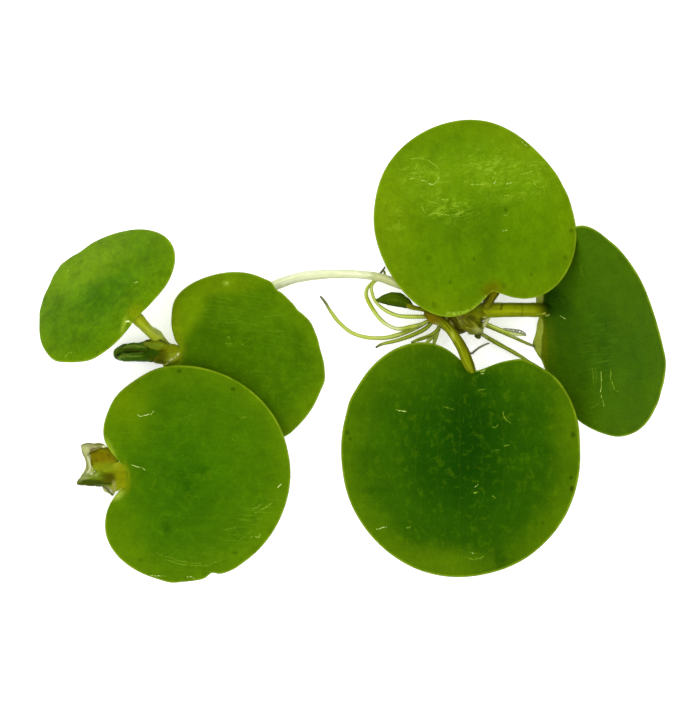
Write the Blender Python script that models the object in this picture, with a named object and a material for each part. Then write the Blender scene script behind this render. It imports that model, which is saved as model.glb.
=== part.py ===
"""Amazon frogbit: a mother rosette and its daughter plant on a stolon, laid on a flat surface.

Lengths below are in millimetres and turns are in degrees; the objects are made in metres.
X runs to the right across the plant, Y runs away from the viewer, and Z is up.
"""

import math

import bpy
from mathutils import Euler
from mathutils import Vector

MM = 0.001

# The plant's middle, so that it is centred over its own footprint
MIDDLE = (-0.55, 0.3)

# Pieces that meet keep this gap
GAP = 0.3

# How finely the leaf blades are divided round the rim and from rim to middle
BLADE_SEGMENTS = 40
BLADE_RINGS = 10

# A blade is thinnest at its rim and carries a spongy pad under its middle
RIM_HALF_THICKNESS = 0.27
PAD_REACH = 0.86

# Each leaf blade: where its middle is, which way it points from stalk to tip, and how it leans.
# Radius, notch and swell give the outline; curl bends the blade from base to tip.
LEAF_TOP = {
    "middle": (15.6, 17.1, 3.4),
    "heading": 104.0,
    "pitch": 13.0,
    "roll": -3.6,
    "curl": 0.0,
    "radius": 13.1,
    "shift": (-0.65, 0.19),
    "notch": (0.323, 0.358, 1.55, 0.0),
    "swell": ((0.051, -0.022), (-0.006, -0.001), (0.0, 0.008), (-0.001, -0.001)),
    "dome": 0.25,
    "pad": 0.95,
    "lip": 0.0,
}
LEAF_BOTTOM = {
    "middle": (13.87, -13.74, 2.82),
    "heading": -90.0,
    "pitch": 6.0,
    "roll": 7.5,
    "curl": 0.0,
    "radius": 15.41,
    "shift": (-0.70, -0.17),
    "notch": (0.265, 0.285, 1.71, 0.177),
    "swell": ((0.0, -0.004), (-0.018, -0.01), (-0.013, -0.005), (-0.005, -0.005)),
    "dome": 0.3,
    "pad": 1.5,
    "lip": 0.0,
}
LEAF_RIGHT = {
    "middle": (30.53, 2.74, 5.2),
    "heading": 9.0,
    "pitch": -43.0,
    "roll": 0.0,
    "curl": -44.0,
    "radius": 11.37,
    "shift": (0.77, -1.02),
    "notch": (0.289, 0.432, 2.4, -0.198),
    "swell": ((-0.101, -0.007), (0.032, -0.091), (0.067, -0.045), (0.035, -0.016)),
    "dome": 0.0,
    "pad": 1.1,
    "lip": 0.9,
}
LEAF_LEFT_UPPER = {
    "middle": (-29.96, 7.03, 7.9),
    "heading": 130.0,
    "pitch": 42.0,
    "roll": 0.0,
    "curl": 16.0,
    "radius": 9.57,
    "shift": (1.58, 0.19),
    "notch": (0.063, 0.244, 1.37, -0.2),
    "swell": ((-0.069, 0.021), (-0.06, 0.04), (-0.003, 0.003), (0.006, 0.011)),
    "dome": 0.0,
    "pad": 0.8,
    "lip": 0.0,
}
LEAF_LEFT_MIDDLE = {
    "middle": (-12.89, 0.13, 2.2),
    "heading": -10.0,
    "pitch": 0.0,
    "roll": 9.5,
    "curl": 0.0,
    "radius": 11.22,
    "shift": (-1.39, -1.54),
    "notch": (0.331, 0.347, 1.4, 0.074),
    "swell": ((-0.015, 0.017), (-0.036, -0.008), (-0.009, 0.011), (-0.004, 0.017)),
    "dome": 0.0,
    "pad": 0.5,
    "lip": 0.0,
}
LEAF_LEFT_LOWER = {
    "middle": (-18.96, -15.29, 2.0),
    "heading": -3.0,
    "pitch": -1.0,
    "roll": 7.5,
    "curl": 0.0,
    "radius": 13.19,
    "shift": (-1.17, -0.14),
    "notch": (0.295, 0.307, 2.31, -0.082),
    "swell": ((-0.072, -0.004), (-0.046, 0.005), (-0.021, 0.001), (-0.005, 0.002)),
    "dome": 0.0,
    "pad": 0.9,
    "lip": 0.0,
}

# Crowns: middle, half length, half width, half height, heading
CROWN_MOTHER = ((13.6, 4.4, 2.35), 3.0, 1.75, 1.6, 0.0)
CROWN_DAUGHTER = ((-22.9, 0.6, 1.35), 0.95, 1.0, 0.95, 60.0)
CROWN_OFFSET = ((-30.6, -14.4, 1.35), 1.3, 1.3, 1.05, 10.0)

# Stalks and stolons: points along the middle line, and radius at the start, middle and end
STALK_TOP = (((15.0, 6.75, 3.9), (16.0, 7.0, 4.25), (17.0, 7.2, 4.55)), (0.7, 0.6, 0.5))
STALK_RIGHT = (
    ((17.25, 5.5, 2.95), (19.5, 5.55, 2.85), (22.1, 5.55, 2.6), (23.9, 5.55, 2.35)),
    (0.85, 0.8, 0.85),
)
STALK_BOTTOM = (
    ((12.5, 1.6, 3.9), (13.4, 0.5, 4.25), (14.3, -0.6, 4.4), (14.8, -1.35, 4.4)),
    (0.95, 0.85, 0.62),
)
STALK_YOUNG = (((9.9, 5.35, 3.2), (8.7, 5.6, 2.85), (7.9, 5.85, 2.5)), (0.42, 0.42, 0.4))
STALK_LEFT_UPPER = (
    ((-23.2, 2.05, 2.5), (-24.1, 2.95, 5.0), (-25.0, 3.75, 8.2), (-25.6, 4.2, 11.0)),
    (0.85, 0.8, 0.7),
)
STALK_LEFT_LOWER = (((-28.9, -14.9, 1.3), (-28.2, -15.1, 1.05), (-27.2, -15.4, 0.8)), (0.5, 0.48, 0.45))
STOLON_LONG = (
    (
        (11.2, 6.9, 2.7),
        (7.6, 8.0, 2.8),
        (4.4, 9.5, 2.4),
        (1.3, 10.1, 2.0),
        (-1.9, 10.1, 1.35),
        (-5.7, 9.8, 0.95),
        (-9.9, 8.7, 0.8),
        (-14.0, 6.6, 0.8),
        (-17.8, 4.3, 0.85),
        (-21.4, 1.9, 1.2),
    ),
    (0.8, 0.75, 0.75),
)
STOLON_SHORT = (
    ((-23.6, -0.9, 0.8), (-25.6, -4.6, 0.6), (-27.3, -8.6, 0.6), (-29.6, -12.7, 0.8)),
    (0.5, 0.5, 0.5),
)

# Roots: points along the middle line, and radius at the start, middle and tip
ROOTS = {
    "root_long": (
        (
            (9.7, 3.9, 1.0),
            (8.9, 3.6, 0.8),
            (6.6, 2.7, 0.55),
            (4.6, 2.0, 0.45),
            (2.2, 1.9, 0.4),
            (-0.3, 2.8, 0.4),
            (-2.3, 4.7, 0.4),
            (-3.8, 7.3, 0.35),
        ),
        (0.38, 0.36, 0.16),
    ),
    "root_looped": (
        (
            (9.75, 4.3, 1.7),
            (8.6, 3.75, 1.55),
            (6.8, 3.0, 1.5),
            (5.3, 3.5, 1.15),
            (4.1, 4.5, 0.75),
            (3.1, 5.7, 0.42),
            (2.3, 7.0, 0.4),
            (2.0, 8.0, 0.4),
            (2.4, 8.9, 0.4),
            (3.4, 9.8, 0.4),
            (4.5, 10.8, 0.3),
        ),
        (0.38, 0.36, 0.16),
    ),
    "root_inner": (
        (
            (10.1, 4.85, 2.45),
            (9.2, 4.75, 2.2),
            (6.2, 4.6, 1.5),
            (4.9, 5.1, 1.3),
            (3.8, 6.1, 1.2),
            (3.0, 7.2, 1.25),
            (2.7, 8.2, 1.3),
            (3.1, 8.9, 1.2),
            (3.9, 9.4, 1.1),
        ),
        (0.34, 0.33, 0.16),
    ),
    "root_low": (
        ((10.3, 3.0, 1.45), (9.4, 2.7, 1.2), (7.4, 1.8, 1.25), (5.1, 1.2, 1.2), (3.3, 0.6, 0.5)),
        (0.36, 0.34, 0.16),
    ),
    "root_short": (
        ((11.3, 2.55, 1.6), (9.6, 1.7, 1.95), (8.1, 1.2, 1.6), (6.9, 0.4, 1.0)),
        (0.36, 0.33, 0.16),
    ),
    "root_under_left": (
        ((12.3, 2.2, 1.1), (11.5, 1.4, 0.8), (10.9, 0.1, 0.5), (10.5, -1.2, 0.35)),
        (0.34, 0.32, 0.14),
    ),
    "root_under_far_left": (
        ((11.2, 2.5, 0.8), (10.0, 1.5, 0.6), (9.4, 0.4, 0.45), (9.0, -0.6, 0.35)),
        (0.3, 0.3, 0.14),
    ),
    "root_right_lower": (
        ((16.1, 2.6, 1.3), (17.9, 1.8, 1.1), (19.7, 0.9, 0.8), (22.0, -0.5, 0.5), (24.3, -1.9, 0.4)),
        (0.38, 0.34, 0.2),
    ),
    "root_right_upper": (
        ((17.0, 3.4, 1.8), (18.5, 3.0, 1.5), (20.2, 2.4, 1.1), (21.9, 1.5, 0.7), (23.4, 0.8, 0.4)),
        (0.38, 0.34, 0.2),
    ),
    "root_bristly": (
        ((17.2, 4.2, 2.7), (18.7, 3.4, 2.6), (20.6, 2.8, 2.4), (22.1, 2.4, 2.2)),
        (0.3, 0.36, 0.3),
    ),
    "root_thread": (
        ((13.8, 2.1, 0.5), (14.5, 0.6, 0.3), (15.4, 0.1, 0.3), (16.5, 0.8, 0.4), (17.4, 1.15, 0.5)),
        (0.2, 0.16, 0.1),
    ),
}

# Points made between two named points of a stalk or root, for short and for long ones
SHORT_STEPS = 3
LONG_STEPS = 2
LONG_COURSE = 6

PLANT_GREEN = {
    "leaf_bright": (0.10, 0.22, 0.008),
    "leaf_dark": (0.035, 0.11, 0.006),
    "leaf_mid": (0.06, 0.16, 0.008),
    "stalk": (0.28, 0.30, 0.03),
    "stolon": (0.55, 0.62, 0.30),
    "root": (0.42, 0.45, 0.16),
    "crown": (0.16, 0.13, 0.02),
    "scale": (0.45, 0.42, 0.25),
    "young": (0.03, 0.08, 0.01),
}


def clear_scene():
    """Take every object out of the file."""
    for thing in list(bpy.data.objects):
        bpy.data.objects.remove(thing, do_unlink=True)


def make_collection(name):
    """A collection linked to the scene."""
    collection = bpy.data.collections.new(name)
    bpy.context.scene.collection.children.link(collection)
    return collection


def make_material(name):
    """A plain finish in one of the plant's colours."""
    material = bpy.data.materials.new(name)
    material.use_nodes = True
    shader = material.node_tree.nodes["Principled BSDF"]
    shader.inputs["Base Color"].default_value = (*PLANT_GREEN[name], 1.0)
    shader.inputs["Roughness"].default_value = 0.35
    return material


def place(thing, name, spot, turn, material, collection, parent):
    """Name a piece, give it its finish and stand it where it belongs."""
    thing.name = name
    thing.data.name = name
    thing.data.materials.clear()
    thing.data.materials.append(material)
    for owner in list(thing.users_collection):
        owner.objects.unlink(thing)
    collection.objects.link(thing)
    where = Vector((spot[0] - MIDDLE[0], spot[1] - MIDDLE[1], spot[2])) * MM
    if parent is not None:
        thing.parent = parent
        where = where - parent.location
    thing.location = where
    thing.rotation_euler = turn
    return thing


def unit_ball(segments, rings):
    """A ball of radius one to be moulded."""
    bpy.ops.mesh.primitive_uv_sphere_add(segments=segments, ring_count=rings, radius=1.0)
    ball = bpy.context.object
    for face in ball.data.polygons:
        face.use_smooth = True
    return ball


def rim_radius(leaf, around):
    """Distance from a blade's middle to its rim, at an angle measured from the notch."""
    depth, width, power, turn = leaf["notch"]
    radius = 1.0
    for order, (cosine, sine) in enumerate(leaf["swell"], start=2):
        radius += cosine * math.cos(order * around) + sine * math.sin(order * around)
    off = abs((around - turn + math.pi) % (2.0 * math.pi) - math.pi)
    return leaf["radius"] * radius * (1.0 - depth * math.exp(-((off / width) ** power)))


def curled(leaf, along, across, height):
    """Bend a flat point of a blade about the line across it."""
    curve = math.radians(leaf["curl"]) / 24.0
    if curve == 0.0:
        return Vector((along, across, height))
    angle = curve * along
    x = math.sin(angle) / curve + height * math.sin(angle)
    z = (math.cos(angle) - 1.0) / curve + height * math.cos(angle)
    return Vector((x, across, z))


def blade_turn(leaf):
    """The rotation of a blade: it leans, then tips, then heads the way it points."""
    roll = math.radians(leaf["roll"])
    pitch = math.radians(leaf["pitch"])
    heading = math.radians(leaf["heading"])
    return Euler((roll, pitch, heading), "XYZ")


def mould_blade(leaf):
    """A round blade with a notch: thin at the rim, with a spongy pad under its middle."""
    ball = unit_ball(BLADE_SEGMENTS, BLADE_RINGS)
    for vertex in ball.data.vertices:
        x, y, z = vertex.co
        reach = min(1.0, math.hypot(x, y))
        angle = math.atan2(y, -x)
        around = angle - 0.4 * math.sin(angle)
        radius = rim_radius(leaf, around) * reach
        if leaf["lip"] > 0.0 and z < -0.05:
            side = (around + 0.32) / 0.42
            radius += leaf["lip"] * reach**4 * math.exp(-(side**2)) * min(1.0, -2.2 * z)
        edge = RIM_HALF_THICKNESS * math.sqrt(abs(z))
        pad = leaf["pad"] * max(0.0, 1.0 - (reach / PAD_REACH) ** 2) ** 0.8
        height = edge if z > 0.0 else -edge - pad
        height -= leaf["dome"] * reach**2
        along = leaf["shift"][0] - radius * math.cos(around)
        across = leaf["shift"][1] + radius * math.sin(around)
        vertex.co = curled(leaf, along, across, height) * MM
    return ball


def make_blade(name, leaf, material, collection, parent):
    """Mould a blade and place it."""
    ball = mould_blade(leaf)
    return place(ball, name, leaf["middle"], blade_turn(leaf), material, collection, parent)


def mould_pod(segments, rings, half_length, profile):
    """A body laid along local X; profile gives its middle line and half sizes at each place."""
    ball = unit_ball(segments, rings)
    for vertex in ball.data.vertices:
        x, y, z = vertex.co
        along = z
        wide = math.hypot(x, y)
        angle = math.atan2(y, x)
        lift, sway, half_width, half_height, pinch = profile(along, angle)
        size = wide * (1.0 - pinch)
        across = half_width * size * math.cos(angle) + sway
        upward = half_height * size * math.sin(angle) + lift
        vertex.co = Vector((half_length * along, across, upward)) * MM
    return ball


def crown_profile(half_width, half_height):
    """A lumpy crown made of overlapping stalk bases."""

    def profile(along, angle):
        lump = 0.10 * math.cos(3.0 * angle + 2.0 * along) + 0.06 * math.cos(5.0 * along + angle)
        return 0.0, 0.0, half_width, half_height, lump

    return profile


def make_crown(name, crown, material, collection, parent):
    """Mould and place a crown."""
    middle, half_length, half_width, half_height, heading = crown
    body = mould_pod(16, 10, half_length, crown_profile(half_width, half_height))
    turn = (0.0, 0.0, math.radians(heading))
    return place(body, name, middle, turn, material, collection, parent)


def scale_profile(half_width, half_height, bow):
    """A thin scale, broad at its base and pointed at its tip."""

    def profile(along, angle):
        taper = 0.62 - 0.38 * along
        return bow * (along * along - 1.0), 0.0, half_width * taper, half_height, 0.0

    return profile


def make_scale(name, middle, sizes, turn, bow, material, collection, parent):
    """Mould and place one papery scale."""
    half_length, half_width, half_height = sizes
    body = mould_pod(12, 8, half_length, scale_profile(half_width, half_height, bow))
    angles = [math.radians(value) for value in turn]
    return place(body, name, middle, angles, material, collection, parent)


def young_profile(along, angle):
    """A folded young blade: pointed at the tip, with a crease along its top."""
    taper = (1.0 - 0.5 * along) * 0.8
    crease = 0.35 * math.exp(-(((angle - math.pi / 2.0) / 0.5) ** 2))
    return 0.0, 0.0, 1.0 * taper, 0.5 * taper, crease


def rolled_profile(along, angle):
    """A blade still rolled from both sides: two rolls with a groove between them."""
    body = 1.0 / max(0.25, math.sqrt(max(0.0, 1.0 - along * along))) ** 0.55
    width = 0.92 + 0.16 * along
    groove = 0.42 * math.exp(-(((angle - 1.35) / 0.42) ** 2))
    lower_groove = 0.2 * math.exp(-(((angle + 1.75) / 0.5) ** 2))
    return 0.12 * along, 0.0, 1.12 * width * body, 0.95 * width * body, groove + lower_groove


def smooth_line(points, steps):
    """Points of a smooth line that passes through every named point."""
    line = []
    named = [Vector(point) for point in points]
    for index in range(len(named) - 1):
        before = named[max(0, index - 1)]
        start = named[index]
        end = named[index + 1]
        after = named[min(len(named) - 1, index + 2)]
        for step in range(steps):
            t = step / steps
            line.append(
                0.5
                * (
                    2.0 * start
                    + (end - before) * t
                    + (2.0 * before - 5.0 * start + 4.0 * end - after) * t**2
                    + (3.0 * start - before - 3.0 * end + after) * t**3
                )
            )
    line.append(named[-1])
    return line


def make_stem(name, course, material, collection, parent):
    """A round stalk, stolon or root along its named points."""
    points, radii = course
    steps = LONG_STEPS if len(points) > LONG_COURSE else SHORT_STEPS
    line = smooth_line(points, steps)
    curve = bpy.data.curves.new(name, "CURVE")
    curve.dimensions = "3D"
    curve.bevel_depth = radii[0] * MM
    curve.bevel_resolution = 2
    curve.use_fill_caps = True
    spline = curve.splines.new("POLY")
    spline.points.add(len(line) - 1)
    spline.use_smooth = True
    start = line[0]
    for index, point in enumerate(line):
        t = index / (len(line) - 1)
        if t < 0.5:
            radius = radii[0] + (radii[1] - radii[0]) * t * 2.0
        else:
            radius = radii[1] + (radii[2] - radii[1]) * (t * 2.0 - 1.0) ** 2
        offset = (point - start) * MM
        spline.points[index].co = (offset.x, offset.y, offset.z, 1.0)
        spline.points[index].radius = radius / radii[0]
    stem = bpy.data.objects.new(name, curve)
    bpy.context.scene.collection.objects.link(stem)
    return place(stem, name, start, (0.0, 0.0, 0.0), material, collection, parent)


def build_mother(finish, collection):
    """The mother rosette: crown, three leaves, a young leaf, a scale and the roots."""
    crown = make_crown("crown_mother", CROWN_MOTHER, finish["crown"], collection, None)
    make_blade("leaf_top", LEAF_TOP, finish["leaf_bright"], collection, crown)
    make_blade("leaf_bottom", LEAF_BOTTOM, finish["leaf_dark"], collection, crown)
    make_blade("leaf_right", LEAF_RIGHT, finish["leaf_dark"], collection, crown)
    make_stem("stalk_top", STALK_TOP, finish["stalk"], collection, crown)
    make_stem("stalk_right", STALK_RIGHT, finish["stalk"], collection, crown)
    make_stem("stalk_bottom", STALK_BOTTOM, finish["stalk"], collection, crown)
    make_stem("stalk_young", STALK_YOUNG, finish["stalk"], collection, crown)
    young = mould_pod(14, 8, 2.1, young_profile)
    turn = (math.radians(12.0), math.radians(4.0), math.radians(168.0))
    place(young, "leaf_young", (5.35, 6.75, 2.2), turn, finish["young"], collection, crown)
    make_scale(
        "scale_mother",
        (17.55, 2.75, 3.1),
        (1.2, 0.85, 0.22),
        (10.0, 12.0, -38.0),
        -0.2,
        finish["scale"],
        collection,
        crown,
    )
    for name, course in ROOTS.items():
        make_stem(name, course, finish["root"], collection, crown)
    return crown


def build_daughter(finish, collection, crown):
    """The daughter plant: two crowns, three leaves, a rolled leaf and the stolons."""
    make_stem("stolon_long", STOLON_LONG, finish["stolon"], collection, crown)
    make_stem("stolon_short", STOLON_SHORT, finish["stolon"], collection, crown)
    make_crown("crown_daughter", CROWN_DAUGHTER, finish["crown"], collection, crown)
    make_crown("crown_offset", CROWN_OFFSET, finish["crown"], collection, crown)
    make_blade("leaf_left_upper", LEAF_LEFT_UPPER, finish["leaf_mid"], collection, crown)
    make_blade("leaf_left_middle", LEAF_LEFT_MIDDLE, finish["leaf_mid"], collection, crown)
    make_blade("leaf_left_lower", LEAF_LEFT_LOWER, finish["leaf_bright"], collection, crown)
    make_stem("stalk_left_upper", STALK_LEFT_UPPER, finish["stalk"], collection, crown)
    make_stem("stalk_left_lower", STALK_LEFT_LOWER, finish["stalk"], collection, crown)
    rolled = mould_pod(16, 10, 2.75, rolled_profile)
    turn = (0.0, math.radians(2.0), math.radians(187.0))
    place(rolled, "leaf_rolled", (-26.95, -0.1, 1.35), turn, finish["young"], collection, crown)
    make_scale(
        "scale_offset_upper",
        (-32.4, -12.35, 1.9),
        (1.7, 0.95, 0.25),
        (0.0, 8.0, 152.0),
        -0.3,
        finish["scale"],
        collection,
        crown,
    )
    make_scale(
        "scale_offset_lower",
        (-33.35, -16.05, 1.2),
        (1.75, 0.85, 0.4),
        (0.0, -4.0, 197.0),
        -0.2,
        finish["scale"],
        collection,
        crown,
    )


def main():
    """Build the plant."""
    clear_scene()
    collection = make_collection("amazon_frogbit")
    finish = {}
    for name in PLANT_GREEN:
        finish[name] = make_material(name)
    crown = build_mother(finish, collection)
    build_daughter(finish, collection, crown)


main()
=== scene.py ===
import math

import bmesh
import bpy
from bpy.props import FloatProperty
from bpy.props import FloatVectorProperty
from bpy.props import IntProperty
from bpy.props import PointerProperty
from mathutils import Euler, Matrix
from mathutils import Vector
from mathutils import noise


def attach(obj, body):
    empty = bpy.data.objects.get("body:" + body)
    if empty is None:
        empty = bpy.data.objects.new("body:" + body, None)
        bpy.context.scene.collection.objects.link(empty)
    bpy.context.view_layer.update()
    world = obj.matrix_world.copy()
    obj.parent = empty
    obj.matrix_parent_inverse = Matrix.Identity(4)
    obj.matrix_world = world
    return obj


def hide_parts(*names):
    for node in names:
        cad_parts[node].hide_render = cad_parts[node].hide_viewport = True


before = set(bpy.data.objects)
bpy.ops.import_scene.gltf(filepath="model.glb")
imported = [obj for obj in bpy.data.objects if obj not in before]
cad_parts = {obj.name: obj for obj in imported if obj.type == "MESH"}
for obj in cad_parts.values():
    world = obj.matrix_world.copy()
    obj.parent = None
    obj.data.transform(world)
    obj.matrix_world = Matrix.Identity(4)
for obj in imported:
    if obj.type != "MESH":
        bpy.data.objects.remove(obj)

bl_info = {
    "name": "Amazon frogbit plant",
    "version": (1, 0, 0),
    "blender": (4, 5, 0),
    "location": "3D View > Sidebar > Frogbit",
    "description": "Grows a mother frogbit plant and its daughter on a stolon, laid out on a table",
    "category": "Add Mesh",
}

# Lengths in the tables are in millimetres and turns in degrees; meshes are made in metres
MM = 0.001

# The plant is centred over its own footprint
MIDDLE = Vector((-0.55, 0.3, 0.0))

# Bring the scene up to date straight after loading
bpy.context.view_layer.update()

# Light that reaches an upward face, as a share of what a white card sends back
LIGHT_LEVEL = 1.3

# Each leaf blade: where its middle is, which way it points from stalk to tip, and how it leans.
# Radius, notch and swell give the outline, curl bends it, and nicks are bites out of its margin.
LEAF_BLADES = {
    "leaf_top": {
        "middle": (15.6, 17.1, 3.4),
        "heading": 104.0,
        "pitch": 13.0,
        "roll": -3.6,
        "curl": 0.0,
        "radius": 13.10,
        "shift": (-0.65, 0.19),
        "notch": (0.323, 0.358, 1.55, 0.0),
        "swell": ((0.051, -0.022), (-0.006, -0.001), (0.0, 0.008), (-0.001, -0.001)),
        "dome": 0.25,
        "pad": 0.95,
        "lip": 0.0,
        "nicks": (
            (144, -0.11, 18), (-128, 0.26, 28), (-82, 0.17, 12), (-180, 0.12, 18),
            (118, 0.1, 12), (-98, 0.09, 5),
        ),
    },
    "leaf_bottom": {
        "middle": (13.87, -13.74, 2.82),
        "heading": -90.0,
        "pitch": 6.0,
        "roll": 7.5,
        "curl": 0.0,
        "radius": 15.41,
        "shift": (-0.70, -0.17),
        "notch": (0.265, 0.285, 1.71, 0.177),
        "swell": ((0.0, -0.004), (-0.018, -0.01), (-0.013, -0.005), (-0.005, -0.005)),
        "dome": 0.3,
        "pad": 1.5,
        "lip": 0.0,
        "nicks": (
            (-54, 0.24, 28), (12, -0.23, 8), (150, -0.1, 12), (-96, 0.11, 12), (42, 0.14, 5),
            (84, 0.1, 8), (-64, -0.14, 5), (32, -0.12, 3),
        ),
    },
    "leaf_right": {
        "middle": (30.53, 2.74, 5.2),
        "heading": 9.0,
        "pitch": -43.0,
        "roll": 0.0,
        "curl": -44.0,
        "radius": 11.40,
        "shift": (0.77, -1.02),
        "notch": (0.289, 0.432, 2.4, -0.198),
        "swell": ((-0.101, -0.007), (0.032, -0.091), (0.067, -0.045), (0.035, -0.016)),
        "dome": 0.0,
        "pad": 1.1,
        "lip": 0.9,
        "nicks": (
            (38, -1.87, 18), (2, -0.87, 8), (60, 0.42, 5), (26, 0.38, 5), (106, 0.23, 8),
            (-160, -0.24, 8), (-114, -0.18, 12), (46, -0.36, 3), (-82, 0.14, 8),
            (-140, 0.12, 5), (-64, -0.12, 5), (70, 0.12, 5), (56, 0.2, 3), (-6, -0.13, 3),
            (90, -0.09, 5),
        ),
    },
    "leaf_left_upper": {
        "middle": (-29.96, 7.03, 7.9),
        "heading": 130.0,
        "pitch": 42.0,
        "roll": 0.0,
        "curl": 16.0,
        "radius": 9.46,
        "shift": (1.58, 0.19),
        "notch": (0.063, 0.244, 1.37, -0.2),
        "swell": ((-0.069, 0.021), (-0.06, 0.04), (-0.003, 0.003), (0.006, 0.011)),
        "dome": 0.0,
        "pad": 0.8,
        "lip": 0.0,
        "nicks": (
            (-14, -0.31, 18), (-176, 0.35, 8), (146, 0.27, 8), (-132, 0.09, 28),
            (66, -0.21, 8), (120, -0.17, 8), (36, -0.17, 8), (166, -0.17, 3), (-46, -0.08, 8),
        ),
    },
    "leaf_left_middle": {
        "middle": (-12.89, 0.13, 2.2),
        "heading": -10.0,
        "pitch": 0.0,
        "roll": 9.5,
        "curl": 0.0,
        "radius": 11.21,
        "shift": (-1.39, -1.54),
        "notch": (0.331, 0.347, 1.4, 0.074),
        "swell": ((-0.015, 0.017), (-0.036, -0.008), (-0.009, 0.011), (-0.004, 0.017)),
        "dome": 0.0,
        "pad": 0.5,
        "lip": 0.0,
        "nicks": (
            (-6, -0.26, 18), (68, 0.21, 28), (118, 0.22, 12), (26, 0.3, 8), (162, 0.25, 8),
            (-178, -0.18, 5), (142, -0.17, 5), (110, 0.22, 3), (130, 0.15, 3), (10, -0.14, 3),
            (-136, -0.11, 5), (104, -0.12, 3),
        ),
    },
    "leaf_left_lower": {
        "middle": (-18.96, -15.29, 2.0),
        "heading": -3.0,
        "pitch": -1.0,
        "roll": 7.5,
        "curl": 0.0,
        "radius": 13.18,
        "shift": (-1.17, -0.14),
        "notch": (0.295, 0.307, 2.31, -0.082),
        "swell": ((-0.072, -0.004), (-0.046, 0.005), (-0.021, 0.001), (-0.005, 0.002)),
        "dome": 0.0,
        "pad": 0.9,
        "lip": 0.0,
        "nicks": (
            (56, 0.38, 12), (-104, 0.55, 3), (-30, 0.2, 8), (-82, -0.18, 5), (18, -0.13, 8),
            (36, 0.13, 8), (-64, 0.11, 12), (162, 0.09, 12), (-116, -0.1, 5),
        ),
    },
}
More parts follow.
